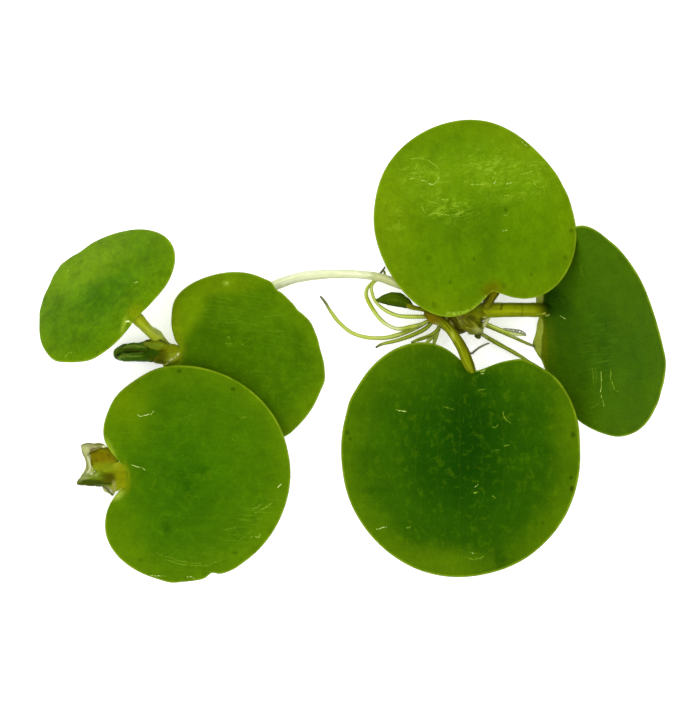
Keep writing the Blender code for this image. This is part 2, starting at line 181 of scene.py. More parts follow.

# Marks on each blade, in its own flat millimetres from the middle, first towards the tip.
# Zones: place, half sizes, turn, softness, strength, colour; they carry the blade's own mottling together with
# painted light and shade. Strokes: strength, half width, points; they are painted highlights, glints off the wet
# surface.
LEAF_MARKS = {
    "leaf_top": {
        "zones": (
            (4.86, -5.3, 6.99, 4.19, -114, 0.8, 0.55, (116, 156, 10)),
            (6.5, 5.37, 4.9, 3.92, -129, 0.8, 0.5, (118, 156, 10)),
            (3.84, 10.49, 5.41, 2.7, 180, 0.9, 0.85, (114, 146, 4)),
            (-3.68, -1.0, 4.92, 1.23, 160, 1.0, 0.75, (78, 116, 2)),
            (-0.28, -3.3, 1.01, 0.51, -75, 0.9, 0.5, (76, 118, 2)),
            (-0.91, 0.75, 3.53, 1.76, -99, 0.9, 0.5, (82, 118, 3)),
            (-1.94, 3.35, 2.89, 0.87, -100, 0.9, 0.45, (82, 118, 3)),
            (-4.67, -7.96, 5.15, 2.57, 165, 0.9, 0.4, (100, 142, 1)),
            (10.94, 1.63, 5.28, 2.11, -88, 0.9, 0.4, (92, 132, 3)),
            (8.34, -7.51, 4.14, 2.07, -145, 0.9, 0.5, (114, 146, 5)),
            (-9.76, 0.2, 1.18, 0.94, -72, 0.8, 0.8, (104, 102, 1)),
            (2.14, -11.32, 3.15, 1.26, -174, 0.9, 0.45, (98, 134, 2)),
            (-7.53, -8.61, 2.24, 1.01, 178, 0.9, 0.5, (88, 124, 2)),
        ),
        "crinkles": (
            (4.61, -5.23, 5.43, 3.26, -111, 0.7, 0.66, (150, 186, 36)),
            (7.1, 4.57, 3.04, 2.43, -121, 0.7, 0.6, (150, 186, 36)),
            (2.31, 3.04, 3.83, 1.91, -113, 0.7, 0.6, (150, 186, 36)),
            (2.27, 9.71, 2.7, 1.35, 180, 0.7, 0.4, (140, 176, 30)),
        ),
        "brushed": (),
        "strokes": (
            (0.55, 0.055, ((9.6, 5.91), (9.52, 5.14), (8.92, 3.98), (8.23, 3.23), (7.42, 2.79), (6.58, 2.74))),
            (0.75, 0.08, ((6.33, 2.8), (5.79, 3.33), (5.48, 3.93), (5.88, 4.61), (6.53, 5.24))),
            (0.6, 0.1, ((6.98, 6.56), (7.02, 5.77), (7.01, 5.24))),
            (0.5, 0.09, ((6.92, -1.4), (6.36, -2.43))),
            (0.45, 0.1, ((5.45, -2.72), (5.31, -3.72), (4.66, -4.07))),
            (0.6, 0.08, ((4.83, -0.08), (4.15, -0.82), (3.8, -2.29))),
            (1.0, 0.055, ((3.52, -3.52), (3.73, -3.88))),
            (1.0, 0.055, ((3.02, -5.07), (3.03, -5.52))),
            (0.5, 0.075, ((3.84, -6.98), (3.73, -7.86), (3.81, -8.53))),
            (0.5, 0.075, ((2.93, -8.29), (2.1, -8.33), (1.52, -8.96), (1.51, -9.47))),
            (0.5, 0.075, ((1.65, -4.33), (1.33, -5.28))),
            (0.6, 0.06, ((2.9, 6.15), (2.1, 5.7))),
            (0.5, 0.075, ((3.55, 5.07), (2.96, 3.92))),
            (0.6, 0.07, ((3.2, 3.33), (3.01, 2.47))),
            (0.6, 0.065, ((1.74, 5.4), (1.83, 4.73), (1.5, 4.03), (1.06, 2.97), (0.95, 2.09), (0.88, 1.33))),
            (0.5, 0.075, ((2.48, 2.22), (2.18, 1.12))),
            (0.9, 0.05, ((-0.74, -3.5), (-0.93, -4.17))),
            (1.0, 0.05, ((-2.77, -3.04), (-2.81, -3.47))),
            (0.9, 0.05, ((7.97, -8.32), (7.24, -8.72))),
            (0.5, 0.3, ((-11.24, 6.24), (-11.63, 4.41), (-11.5, 3.35), (-10.84, 1.89), (-10.31, 1.11))),
        ),
        "dark_strokes": (
            (0.7, 0.06, ((8.33, -8.29), (7.03, -8.99))),
        ),
        "specks": (
            (-7.38, 4.99, 0.28, 0.36),
            (-9.72, 7.65, 0.4, 0.33),
            (-8.07, -9.62, 0.34, 0.33),
            (-4.91, -11.24, 0.3, 0.4),
            (-5.31, 1.36, 0.3, 0.35),
            (-9.54, -1.4, 0.4, 0.3),
            (-9.06, -5.0, 0.25, 0.35),
            (-3.65, 6.89, 0.4, 0.3),
            (-0.23, -4.09, 0.3, 0.4),
        ),
    },
    "leaf_bottom": {
        "zones": (
            (-1.57, 1.26, 14.1, 8.74, -2, 0.9, 0.85, (27, 74, 1)),
            (-2.21, 1.26, 5.75, 2.88, -3, 0.9, 0.5, (14, 64, 1)),
            (-4.11, 0.74, 6.37, 1.91, -2, 0.9, 0.6, (14, 58, 1)),
            (-10.72, 2.46, 2.65, 1.32, 71, 0.9, 0.6, (20, 66, 1)),
            (-10.94, -7.62, 4.01, 2.41, 109, 0.9, 0.6, (62, 102, 2)),
            (-9.93, 8.71, 4.17, 2.5, 64, 0.9, 0.5, (52, 96, 2)),
            (-1.3, -12.44, 9.06, 3.17, 8, 0.9, 0.5, (60, 102, 2)),
            (13.0, -2.83, 4.2, 1.89, 86, 0.9, 0.7, (88, 122, 2)),
            (1.98, 13.32, 5.1, 1.53, 6, 0.9, 0.5, (72, 108, 3)),
            (-0.69, -10.9, 1.79, 0.54, 95, 0.9, 0.4, (34, 78, 1)),
            (-1.87, 9.41, 2.15, 0.64, 81, 0.9, 0.45, (22, 72, 1)),
            (12.39, 5.14, 1.29, 0.64, 6, 0.9, 0.6, (30, 76, 1)),
            (3.81, -11.02, 1.54, 0.46, 96, 0.9, 0.4, (32, 76, 1)),
        ),
        "crinkles": (
            (11.96, 2.36, 2.57, 1.28, 80, 0.7, 0.35, (96, 134, 12)),
        ),
        "brushed": (),
        "strokes": (
            (0.9, 0.06, ((-6.49, -8.11), (-6.31, -6.85))),
            (1.0, 0.06, ((8.95, -10.58), (8.56, -9.36))),
            (0.7, 0.05, ((8.59, -6.67), (8.48, -6.29))),
            (0.6, 0.05, ((-4.67, 4.01), (-4.5, 4.38), (-4.82, 4.83))),
            (0.4, 0.07, ((-6.47, 5.37), (-5.59, 5.63), (-5.1, 6.26))),
            (0.45, 0.065, ((-2.17, 5.65), (-2.31, 6.15))),
            (0.4, 0.065, ((-1.64, 4.53), (-1.6, 4.91))),
            (1.0, 0.055, ((3.13, 1.97), (2.79, 2.3))),
            (0.6, 0.07, ((3.9, 1.8), (3.69, 2.24))),
            (0.5, 0.06, ((4.22, 4.14), (4.47, 4.58))),
            (1.0, 0.05, ((11.54, 1.47), (11.64, 1.73))),
            (0.4, 0.065, ((12.13, 0.84), (12.49, 1.86), (12.07, 2.99))),
            (0.35, 0.075, ((-9.07, 2.34), (-9.34, 3.09))),
            (0.25, 0.1, ((-6.97, -2.17), (-6.62, -0.66))),
            (0.9, 0.06, ((-11.59, 2.08), (-11.47, 2.58), (-11.67, 3.2))),
            (0.8, 0.05, ((-11.22, 2.45), (-11.3, 2.95))),
        ),
        "dark_strokes": (),
        "specks": (
            (-3.44, -14.35, 0.3, 0.5),
            (-3.73, 14.12, 0.36, 0.6),
            (1.71, 13.93, 0.25, 0.6),
            (3.1, 14.08, 0.34, 0.7),
            (-2.67, -13.97, 0.25, 0.4),
            (7.51, 10.5, 0.25, 0.4),
            (0.57, 2.16, 0.3, 0.35),
        ),
    },
    "leaf_right": {
        "zones": (
            (-3.77, 0.63, 5.51, 1.87, -82, 0.9, 0.45, (42, 80, 2)),
            (-6.52, -0.27, 2.8, 0.67, -97, 0.8, 0.6, (82, 110, 2)),
            (-5.18, 4.92, 2.36, 1.3, -48, 0.9, 0.85, (24, 62, 1)),
            (1.06, -2.75, 4.14, 0.91, -99, 0.9, 0.55, (42, 82, 2)),
            (-2.34, -5.28, 2.59, 1.03, -84, 0.9, 0.5, (44, 84, 3)),
            (6.68, 3.11, 6.43, 3.21, -79, 0.9, 0.4, (68, 106, 2)),
            (6.13, -4.02, 2.74, 1.09, -88, 0.9, 0.5, (50, 92, 3)),
            (1.49, 10.54, 2.48, 1.24, -62, 0.9, 0.4, (66, 104, 2)),
            (-7.45, -0.4, 3.06, 0.52, -97, 0.6, 0.85, (106, 118, 1)),
            (-8.23, 0.1, 2.81, 0.56, -98, 0.3, 0.95, (172, 184, 66)),
            (-7.59, 1.68, 1.4, 0.45, -98, 0.3, 0.95, (176, 188, 68)),
            # Partly the pale pad's own colour, partly painted light that lifts the shadow the top leaf casts on
            # this spot
            (-7.05, 5.2, 0.89, 0.58, -100, 0.35, 0.95, (206, 220, 90)),
            (-5.85, 4.38, 1.42, 0.71, -89, 0.7, 0.8, (30, 64, 1)),
            (-1.94, -8.75, 2.48, 1.24, -72, 0.9, 0.4, (66, 102, 3)),
        ),
        "crinkles": (),
        "brushed": (
            (0.96, -2.49, 6.32, 3.16, -102, 0.8, 0.4, (96, 132, 20)),
            (1.27, 9.44, 3.78, 2.27, -106, 0.8, 0.3, (90, 124, 20)),
        ),
        "strokes": (
            (0.7, 0.06, ((0.11, -5.17), (0.01, -6.17), (-0.36, -7.65), (-0.37, -8.79), (-0.25, -9.43))),
            (0.3, 0.05, ((-0.99, -4.54), (-1.27, -6.79))),
            (0.5, 0.055, ((1.6, -4.82), (1.46, -6.32), (1.84, -7.62), (2.26, -7.91))),
            (0.35, 0.06, ((-2.23, -9.49), (-1.1, -9.09))),
            (0.25, 0.06, ((-0.52, 8.31), (-0.31, 7.02))),
            (0.9, 0.055, ((-4.59, 2.54), (-3.93, 2.14))),
            (0.25, 0.05, ((-0.55, -4.59), (-0.68, -6.1))),
        ),
        "dark_strokes": (
            (0.6, 0.07, ((2.14, 1.02), (2.05, -0.22))),
            (0.3, 0.07, ((1.23, -1.89), (0.72, -4.48))),
        ),
        "specks": (
            (-7.55, 4.38, 0.3, 0.3),
        ),
    },
    "leaf_left_upper": {
        "zones": (
            (6.44, -1.23, 4.44, 3.11, -117, 0.9, 0.6, (120, 156, 8)),
            (8.84, 3.16, 2.33, 1.4, -81, 0.9, 0.6, (112, 150, 8)),
            (-0.31, 1.57, 2.86, 1.57, -124, 0.9, 0.6, (66, 110, 1)),
            (3.57, 5.82, 4.67, 2.33, -168, 0.9, 0.4, (78, 120, 2)),
            (-4.16, -4.67, 3.59, 1.43, -52, 0.9, 0.5, (96, 134, 3)),
            (-3.87, 5.85, 2.89, 1.16, -154, 0.9, 0.5, (70, 112, 2)),
            (-5.51, -1.44, 1.12, 1.01, -68, 0.9, 0.9, (126, 146, 4)),
            (-5.85, 0.42, 1.19, 0.38, -43, 0.6, 0.7, (140, 168, 34)),
            (0.97, 7.87, 2.43, 0.97, 171, 0.9, 0.4, (72, 112, 2)),
        ),
        "crinkles": (
            (6.38, 1.27, 4.45, 2.67, -115, 0.7, 0.35, (132, 166, 12)),
        ),
        "brushed": (),
        "strokes": (
            (1.0, 0.15, ((-5.71, 0.02), (-5.95, -0.32), (-6.4, -0.5))),
            (0.4, 0.25, ((-6.29, 1.15), (-6.04, 0.62), (-5.45, 0.03))),
            (1.0, 0.055, ((-1.57, -3.81), (-1.81, -4.06))),
            (0.6, 0.06, ((-3.59, 8.57), (-3.51, 7.89))),
            (0.5, 0.05, ((-3.6, 7.62), (-3.97, 7.65))),
            (0.7, 0.065, ((8.91, 2.22), (8.56, 2.12))),
            (0.6, 0.06, ((9.1, 1.06), (8.72, 0.9))),
        ),
        "dark_strokes": (),
        "specks": (),
    },
    "leaf_left_middle": {
        "zones": (
            (-4.28, 8.18, 3.15, 1.57, 8, 0.9, 0.45, (116, 148, 5)),
            (-8.39, 3.58, 4.17, 1.67, 72, 0.6, 0.95, (122, 158, 4)),
            (-4.47, 7.82, 3.42, 0.96, 15, 0.9, 0.6, (118, 148, 5)),
            (7.35, 0.56, 2.89, 1.15, -68, 0.9, 0.4, (62, 102, 2)),
            (6.01, -5.17, 1.74, 0.87, -45, 0.9, 0.4, (62, 104, 2)),
            (-4.15, 8.15, 0.45, 0.36, 10, 0.6, 0.6, (150, 176, 44)),
            (-1.66, -0.01, 4.6, 2.3, -6, 0.9, 0.55, (66, 108, 0)),
            (0.87, 5.62, 3.58, 1.79, 0, 0.9, 0.35, (88, 128, 2)),
            (-8.89, -1.31, 2.06, 0.82, -84, 0.7, 0.8, (136, 156, 14)),
            (-9.62, 2.46, 2.55, 0.64, -81, 0.8, 0.7, (128, 150, 6)),
        ),
        "crinkles": (),
        "brushed": (
            (-5.07, 5.21, 6.31, 3.16, 12, 0.8, 0.35, (120, 152, 20)),
            (-0.1, 2.21, 6.32, 3.16, 7, 0.8, 0.25, (110, 146, 20)),
        ),
        "strokes": (
            (0.7, 0.15, ((-4.4, 8.13), (-3.98, 8.23))),
            (0.4, 0.05, ((-2.9, 1.32), (-2.69, 1.57), (-2.51, 1.26))),
            (0.4, 0.05, ((-2.92, 0.67), (-2.16, 0.73))),
            (0.5, 0.05, ((-0.9, 0.82), (-0.77, 0.85))),
            (0.4, 0.05, ((0.34, 1.07), (0.47, 1.09))),
            (0.9, 0.15, ((-9.75, -3.16), (-9.31, -2.74), (-8.92, -2.35), (-8.67, -1.92), (-8.56, -1.46))),
            (0.25, 0.05, ((-6.83, 4.25), (-5.11, 4.68))),
            (0.25, 0.05, ((1.02, 4.74), (3.58, 5.46))),
            (0.2, 0.05, ((-5.35, 2.96), (-2.09, 3.41))),
            (0.2, 0.05, ((0.05, -2.58), (3.15, -1.89))),
            (0.2, 0.05, ((-0.2, 2.84), (4.17, 3.49))),
        ),
        "dark_strokes": (),
        "specks": (),
    },
    "leaf_left_lower": {
        "zones": (
            (-9.83, 8.96, 4.01, 2.21, -70, 0.9, 0.65, (112, 144, 1)),
            (-10.14, -7.78, 4.16, 2.29, -66, 0.9, 0.55, (96, 132, 2)),
            (-3.09, -2.22, 7.13, 3.57, -83, 0.9, 0.6, (50, 98, 3)),
            (-6.35, 0.18, 3.17, 1.58, 3, 0.9, 0.5, (58, 104, 2)),
            (8.95, 1.01, 3.93, 1.37, -76, 0.9, 0.4, (70, 110, 2)),
            (1.47, -11.43, 2.84, 1.13, 11, 0.9, 0.5, (72, 110, 3)),
            (-6.53, -12.53, 3.62, 1.45, -16, 0.9, 0.4, (92, 128, 4)),
            (-0.02, 0.52, 1.02, 0.61, -4, 0.8, 0.5, (34, 84, 1)),
            (-2.28, 0.02, 0.63, 0.51, -34, 0.8, 0.5, (34, 84, 1)),
            (-1.58, -1.75, 1.09, 0.55, -67, 0.8, 0.5, (34, 84, 1)),
            (-4.04, -7.19, 1.04, 0.52, -81, 0.8, 0.5, (34, 84, 1)),
            (-9.42, -1.02, 1.68, 0.5, -84, 0.7, 0.85, (132, 144, 4)),
            (-11.56, 2.34, 1.68, 0.5, -64, 0.7, 0.9, (150, 180, 40)),
            (-10.42, -3.27, 0.88, 0.53, 39, 0.7, 0.95, (160, 182, 56)),
        ),
        "crinkles": (),
        "brushed": (
            (8.05, -4.45, 3.06, 1.53, 20, 0.8, 0.5, (130, 164, 30)),
            (4.78, -8.26, 3.78, 1.51, 27, 0.8, 0.35, (120, 156, 24)),
            (1.08, -11.06, 4.46, 1.34, 0, 0.8, 0.22, (116, 152, 20)),
        ),
        "strokes": (
            (1.0, 0.06, ((-8.12, 7.22), (-7.86, 7.03), (-6.99, 7.2), (-6.36, 7.44), (-6.19, 7.65))),
            (1.0, 0.06, ((-8.78, 0.69), (-7.89, 0.54), (-6.99, 0.2))),
            (0.45, 0.05, ((4.83, 7.45), (5.5, 7.56))),
            (0.4, 0.06, ((3.98, 4.72), (4.12, 4.52))),
            (0.9, 0.055, ((9.93, -1.17), (10.25, -0.8))),
            (0.7, 0.055, ((7.3, -7.6), (7.81, -7.75), (8.0, -7.3))),
            (0.4, 0.05, ((6.8, -7.89), (7.05, -7.68))),
            (1.0, 0.05, ((-5.85, -13.48), (-4.96, -13.43), (-3.81, -13.55))),
            (1.0, 0.06, ((-1.08, -13.35), (-0.49, -13.32), (-0.31, -13.57))),
            (0.35, 0.08, ((7.17, -4.63), (8.28, -3.99), (9.39, -3.09))),
            (0.3, 0.07, ((3.45, -6.91), (4.71, -6.64))),
            (0.3, 0.1, ((6.77, -4.13), (8.01, -3.42))),
            (0.3, 0.06, ((-5.07, -10.49), (-3.26, -11.1), (-0.95, -11.52), (0.46, -11.62))),
            (0.3, 0.06, ((-4.02, -11.35), (-1.44, -11.86), (1.11, -11.84), (3.11, -10.95))),
            (0.2, 0.05, ((-3.05, 6.77), (-1.81, 7.35), (-0.32, 7.94))),
            (0.2, 0.1, ((5.42, -8.22), (6.88, -6.85))),
        ),
        "dark_strokes": (),
        "specks": (
            (4.85, -9.94, 0.3, 0.4),
            (3.72, 11.09, 0.3, 0.5),
            (-3.16, 13.01, 0.35, 0.5),
            (-7.07, -11.52, 0.3, 0.3),
            (0.96, 13.74, 0.25, 0.3),
        ),
    },
}

# The same kinds of marks on the stalks and crowns, in millimetres across the table; their zones carry the parts'
# own colours together with painted light and shade, their strokes are painted highlights and glints, and their dark
# strokes are dark marks of the parts together with painted shade in creases, grooves and under edges
CROWN_MARKS = {
    "mother": {
        "zones": (
            (11.13, 4.23, 0.96, 0.86, -23, 0.5, 0.9, (126, 108, 0)),
            (13.02, 3.6, 1.42, 0.6, -45, 0.5, 0.9, (64, 58, 0)),
            (16.67, 1.84, 0.4, 0.36, -18, 0.5, 0.9, (66, 72, 24)),
            (14.78, 3.73, 1.08, 0.76, -54, 0.7, 0.6, (112, 110, 14)),
            (15.85, 4.11, 0.62, 0.37, -24, 0.6, 0.8, (60, 64, 0)),
            (17.18, 3.67, 0.49, 0.39, -40, 0.6, 0.8, (76, 78, 0)),
            (16.67, 2.55, 0.7, 0.35, -8, 0.6, 0.75, (164, 170, 98)),
            (15.41, 2.34, 0.54, 0.27, -22, 0.6, 0.7, (116, 118, 34)),
            (16.55, 5.05, 0.66, 0.46, -17, 0.7, 0.8, (124, 136, 8)),
            (15.79, 3.48, 0.84, 0.51, -27, 0.8, 0.4, (108, 112, 16)),
            (11.63, 2.97, 0.68, 0.34, -68, 0.6, 0.7, (160, 165, 70)),
            (14.4, 3.98, 0.8, 0.32, -72, 0.7, 0.6, (140, 138, 62)),
            (12.64, 4.11, 0.23, 0.18, -56, 0.7, 0.8, (150, 146, 66)),
            (13.31, 3.35, 0.38, 0.17, -56, 0.6, 0.9, (160, 156, 70)),
        ),
        "strokes": (
            (0.3, 0.1, ((13.9, 4.36), (14.15, 3.86), (14.4, 3.48))),
            (0.3, 0.1, ((14.91, 3.92), (15.16, 3.42))),
            (0.3, 0.1, ((15.16, 2.91), (15.92, 2.72), (16.67, 2.85))),
            (0.7, 0.12, ((17.3, 4.18), (17.68, 4.23), (18.18, 4.31))),
        ),
        "dark_strokes": (
            (0.8, 0.12, ((14.03, 2.72), (14.66, 2.47), (15.16, 2.22), (15.79, 1.94), (16.42, 1.82))),
            (0.6, 0.12, ((13.77, 4.11), (14.03, 3.6), (14.4, 2.97))),
            (0.5, 0.12, ((15.29, 3.98), (15.66, 3.35), (16.04, 3.1))),
            (0.7, 0.13, ((16.99, 4.11), (17.18, 3.73), (16.92, 3.23), (16.73, 2.97))),
        ),
    },
    "daughter": {
        "zones": (
            (-24.1, 0.77, 1.28, 0.51, -9, 0.5, 0.7, (132, 152, 26)),
            (-23.85, 0.41, 0.95, 0.38, -2, 0.7, 0.6, (108, 136, 12)),
            (-24.61, -0.55, 1.14, 0.46, -6, 0.6, 0.7, (40, 78, 0)),
            (-22.96, -0.17, 1.02, 0.51, 60, 0.5, 0.8, (90, 92, 0)),
            (-21.95, 0.21, 1.08, 0.65, -21, 0.6, 0.9, (128, 140, 4)),
            (-23.72, -1.12, 1.14, 0.4, -6, 0.7, 0.85, (84, 92, 3)),
            (-21.82, 0.52, 0.6, 0.48, -32, 0.6, 0.9, (132, 142, 4)),
            (-22.01, -1.12, 1.21, 0.41, 39, 0.6, 1.0, (156, 176, 34)),
        ),
        "strokes": (
            (0.3, 0.16, ((-27.64, 0.64), (-26.5, 0.58), (-25.24, 0.43))),
            (0.2, 0.1, ((-26.88, 0.89), (-25.62, 0.8))),
            (0.26, 0.14, ((-28.65, -1.18), (-28.4, -0.68), (-28.02, -0.38), (-27.26, -0.43), (-26.25, -0.3), (-25.74, -0.22))),
            (0.3, 0.16, ((-28.27, -0.43), (-27.51, -0.51))),
            (0.8, 0.14, ((-22.66, -1.69), (-22.43, -1.46))),
            (1.0, 0.2, ((-22.23, -1.26), (-21.93, -1.08))),
            (0.8, 0.12, ((-21.62, -1.01), (-21.5, -0.73))),
            (1.0, 0.2, ((-21.24, -0.6), (-21.14, -0.38))),
            (0.45, 0.07, ((-22.2, -0.68), (-22.01, -0.17))),
        ),
        "dark_strokes": (
            (0.8, 0.18, ((-28.02, 0.03), (-27.26, 0.13), (-26.25, -0.07), (-25.24, -0.2))),
            (0.85, 0.13, ((-25.49, 1.29), (-24.73, 1.34), (-23.72, 1.47), (-23.09, 1.22), (-22.41, 0.91))),
            (0.7, 0.16, ((-28.98, -1.18), (-28.93, -0.43), (-28.65, 0.08), (-28.14, 0.53))),
            (0.5, 0.12, ((-24.98, 0.71), (-24.86, 0.08), (-24.98, -0.81))),
        ),
    },
    "offset": {
        "zones": (
            (-31.85, -12.77, 0.54, 0.43, -45, 0.5, 0.8, (88, 92, 0)),
            (-30.96, -13.46, 1.15, 0.52, -9, 0.6, 0.8, (122, 112, 0)),
            (-30.84, -12.58, 0.8, 0.32, -18, 0.6, 0.6, (134, 136, 0)),
            (-30.39, -14.73, 1.71, 0.62, 0, 0.7, 0.95, (132, 150, 14)),
            (-30.84, -13.27, 1.3, 0.91, -14, 0.8, 0.5, (122, 114, 0)),
            (-27.5, -15.99, 1.9, 0.38, -88, 0.7, 1.0, (86, 124, 2)),
            (-31.15, -11.92, 0.51, 0.25, -3, 0.6, 0.7, (132, 128, 60)),
            (-32.61, -11.92, 0.51, 0.23, -3, 0.6, 0.6, (142, 148, 84)),
            (-29.07, -15.11, 0.38, 0.23, 0, 0.8, 0.5, (120, 126, 2)),
            (-31.53, -15.3, 0.6, 0.3, -18, 0.5, 0.85, (150, 176, 50)),
            (-33.12, -15.99, 0.79, 0.36, 29, 0.5, 0.9, (152, 162, 92)),
            (-32.1, -16.66, 1.78, 0.36, -4, 0.5, 0.9, (54, 68, 0)),
            (-29.82, -16.06, 1.14, 0.63, 3, 0.5, 0.9, (78, 78, 0)),
            (-31.72, -15.94, 1.14, 0.25, -6, 0.6, 0.7, (104, 128, 22)),
            (-29.95, -17.64, 0.6, 0.39, -58, 0.5, 0.9, (150, 150, 96)),
            (-29.26, -17.13, 0.7, 0.24, -85, 0.5, 0.75, (158, 152, 82)),
            (-28.37, -16.12, 1.65, 0.74, -86, 0.6, 0.9, (134, 142, 2)),
            (-28.94, -14.35, 0.6, 0.48, 58, 0.6, 0.7, (152, 160, 26)),
            (-32.1, -12.32, 0.47, 0.28, -19, 0.5, 0.6, (162, 146, 104)),
            (-32.86, -12.45, 0.52, 0.37, -14, 0.5, 0.7, (190, 196, 126)),
        ),
        "strokes": (
            (0.4, 0.14, ((-32.57, -13.46), (-32.36, -13.97), (-32.28, -14.47), (-32.33, -14.98), (-32.61, -15.42))),
            (0.5, 0.2, ((-31.55, -15.23), (-31.39, -15.21))),
            (0.4, 0.2, ((-32.18, -15.61), (-32.08, -15.66))),
            (0.4, 0.18, ((-31.65, -15.69), (-31.47, -15.74))),
            (0.9, 0.16, ((-30.61, -12.12), (-30.38, -12.07))),
            (0.7, 0.14, ((-29.51, -18.84), (-29.26, -18.27), (-28.88, -17.93), (-28.43, -17.66))),
            (0.35, 0.1, ((-29.82, -17.26), (-29.7, -17.89))),
            (0.35, 0.1, ((-29.39, -16.82), (-29.34, -17.64))),
        ),
        "dark_strokes": (
            (0.6, 0.13, ((-33.55, -12.25), (-33.32, -11.89), (-32.86, -11.73), (-32.23, -11.77), (-31.93, -11.94), (-31.47, -11.79), (-30.89, -11.79), (-30.52, -11.97))),
            (0.55, 0.13, ((-33.55, -12.32), (-33.19, -12.91), (-32.86, -13.59), (-32.71, -14.35), (-32.74, -15.11), (-33.04, -15.59), (-33.62, -16.04), (-34.03, -16.63))),
            (0.5, 0.14, ((-32.58, -13.26), (-32.2, -12.7), (-31.72, -12.35), (-31.14, -12.2), (-30.53, -12.3))),
            (0.6, 0.14, ((-32.48, -13.46), (-32.23, -13.97), (-32.03, -14.4))),
            (0.7, 0.2, ((-32.08, -14.35), (-32.03, -14.42))),
            (0.5, 0.14, ((-31.52, -13.92), (-31.42, -13.97))),
            (0.5, 0.14, ((-30.05, -13.21), (-29.95, -13.39))),
            (0.8, 0.16, ((-34.0, -16.96), (-33.62, -17.13), (-32.61, -17.03), (-31.6, -17.04), (-30.84, -17.18), (-30.33, -17.51), (-29.88, -18.02), (-29.5, -18.4))),
        ),
    },
    "stalks": {
        "zones": (
            (17.95, 5.37, 0.77, 0.54, -9, 0.6, 0.5, (138, 148, 12)),
            (24.75, 5.37, 0.81, 0.81, -39, 0.7, 0.7, (102, 110, 0)),
            (25.68, 5.25, 1.39, 0.77, -84, 0.9, 1.0, (40, 70, 1)),
            (13.41, 1.78, 0.59, 0.24, -73, 0.6, 0.8, (168, 178, 60)),
            (14.62, 0.83, 0.87, 0.26, -70, 0.6, 0.7, (104, 104, 0)),
            (22.67, 5.44, 0.26, 0.26, -14, 0.7, 0.5, (165, 185, 40)),
            (18.07, 6.38, 0.85, 0.51, 63, 0.7, 0.6, (96, 94, 0)),
            (11.39, 4.24, 0.81, 0.65, -39, 0.7, 0.85, (120, 108, 2)),
        ),
        "strokes": (
            (0.8, 0.14, ((24.88, 4.67), (25.21, 4.72))),
            (0.8, 0.16, ((25.46, 4.41), (25.81, 4.46))),
            (0.4, 0.12, ((24.12, 4.57), (24.63, 4.59))),
            (0.5, 0.12, ((18.83, 6.03), (19.46, 5.93))),
            (0.2, 0.12, ((18.15, 6.0), (18.45, 6.63), (18.76, 7.01))),
        ),
        "dark_strokes": (
            (0.75, 0.14, ((19.66, 5.8), (19.58, 5.45), (19.51, 5.17))),
            (0.35, 0.12, ((22.16, 5.88), (22.21, 4.99), (22.16, 4.31))),
            (0.3, 0.1, ((21.29, 5.75), (21.32, 5.25))),
            (0.7, 0.14, ((17.39, 5.83), (17.69, 6.33), (17.89, 6.76))),
        ),
    },
    "roots": {
        "zones": (
            (5.89, 3.07, 1.14, 0.57, -27, 0.7, 0.75, (230, 236, 178)),
            (2.97, 5.93, 1.06, 0.63, -57, 0.7, 0.8, (180, 194, 36)),
            (-3.01, 6.56, 1.38, 1.1, -56, 0.7, 0.7, (112, 112, 80)),
            (4.75, 10.25, 0.64, 0.57, -53, 0.6, 0.8, (92, 96, 60)),
            (3.98, 0.46, 0.71, 0.57, 27, 0.7, 0.8, (108, 110, 74)),
            (7.8, 2.62, 0.68, 0.48, 22, 0.7, 0.6, (158, 172, 24)),
            (9.32, 3.21, 0.42, 0.38, 25, 0.6, 0.6, (150, 160, 80)),
            (21.65, 2.06, 0.91, 0.41, -13, 0.6, 0.8, (232, 240, 160)),
            (20.38, 2.31, 0.57, 0.34, -27, 0.7, 0.6, (166, 184, 56)),
            (17.46, 2.05, 0.6, 0.42, -32, 0.7, 0.6, (176, 184, 104)),
            (10.72, 1.23, 0.4, 0.28, 18, 0.5, 0.85, (226, 240, 120)),
            (9.83, 1.91, 0.68, 0.24, 22, 0.5, 0.8, (214, 224, 110)),
            (12.12, 2.62, 0.28, 0.26, -27, 0.5, 0.8, (84, 88, 10)),
            (11.99, 2.88, 0.27, 0.19, 17, 0.6, 0.5, (200, 206, 110)),
        ),
        "strokes": (
            (0.5, 0.1, ((21.65, 1.96), (22.29, 1.81))),
            (0.5, 0.12, ((4.16, 6.01), (4.75, 5.78))),
        ),
        "dark_strokes": (
            (0.6, 0.14, ((9.19, 1.45), (9.96, 1.68), (10.72, 1.86))),
            (0.4, 0.12, ((18.09, 1.51), (18.86, 1.02))),
        ),
    },
}

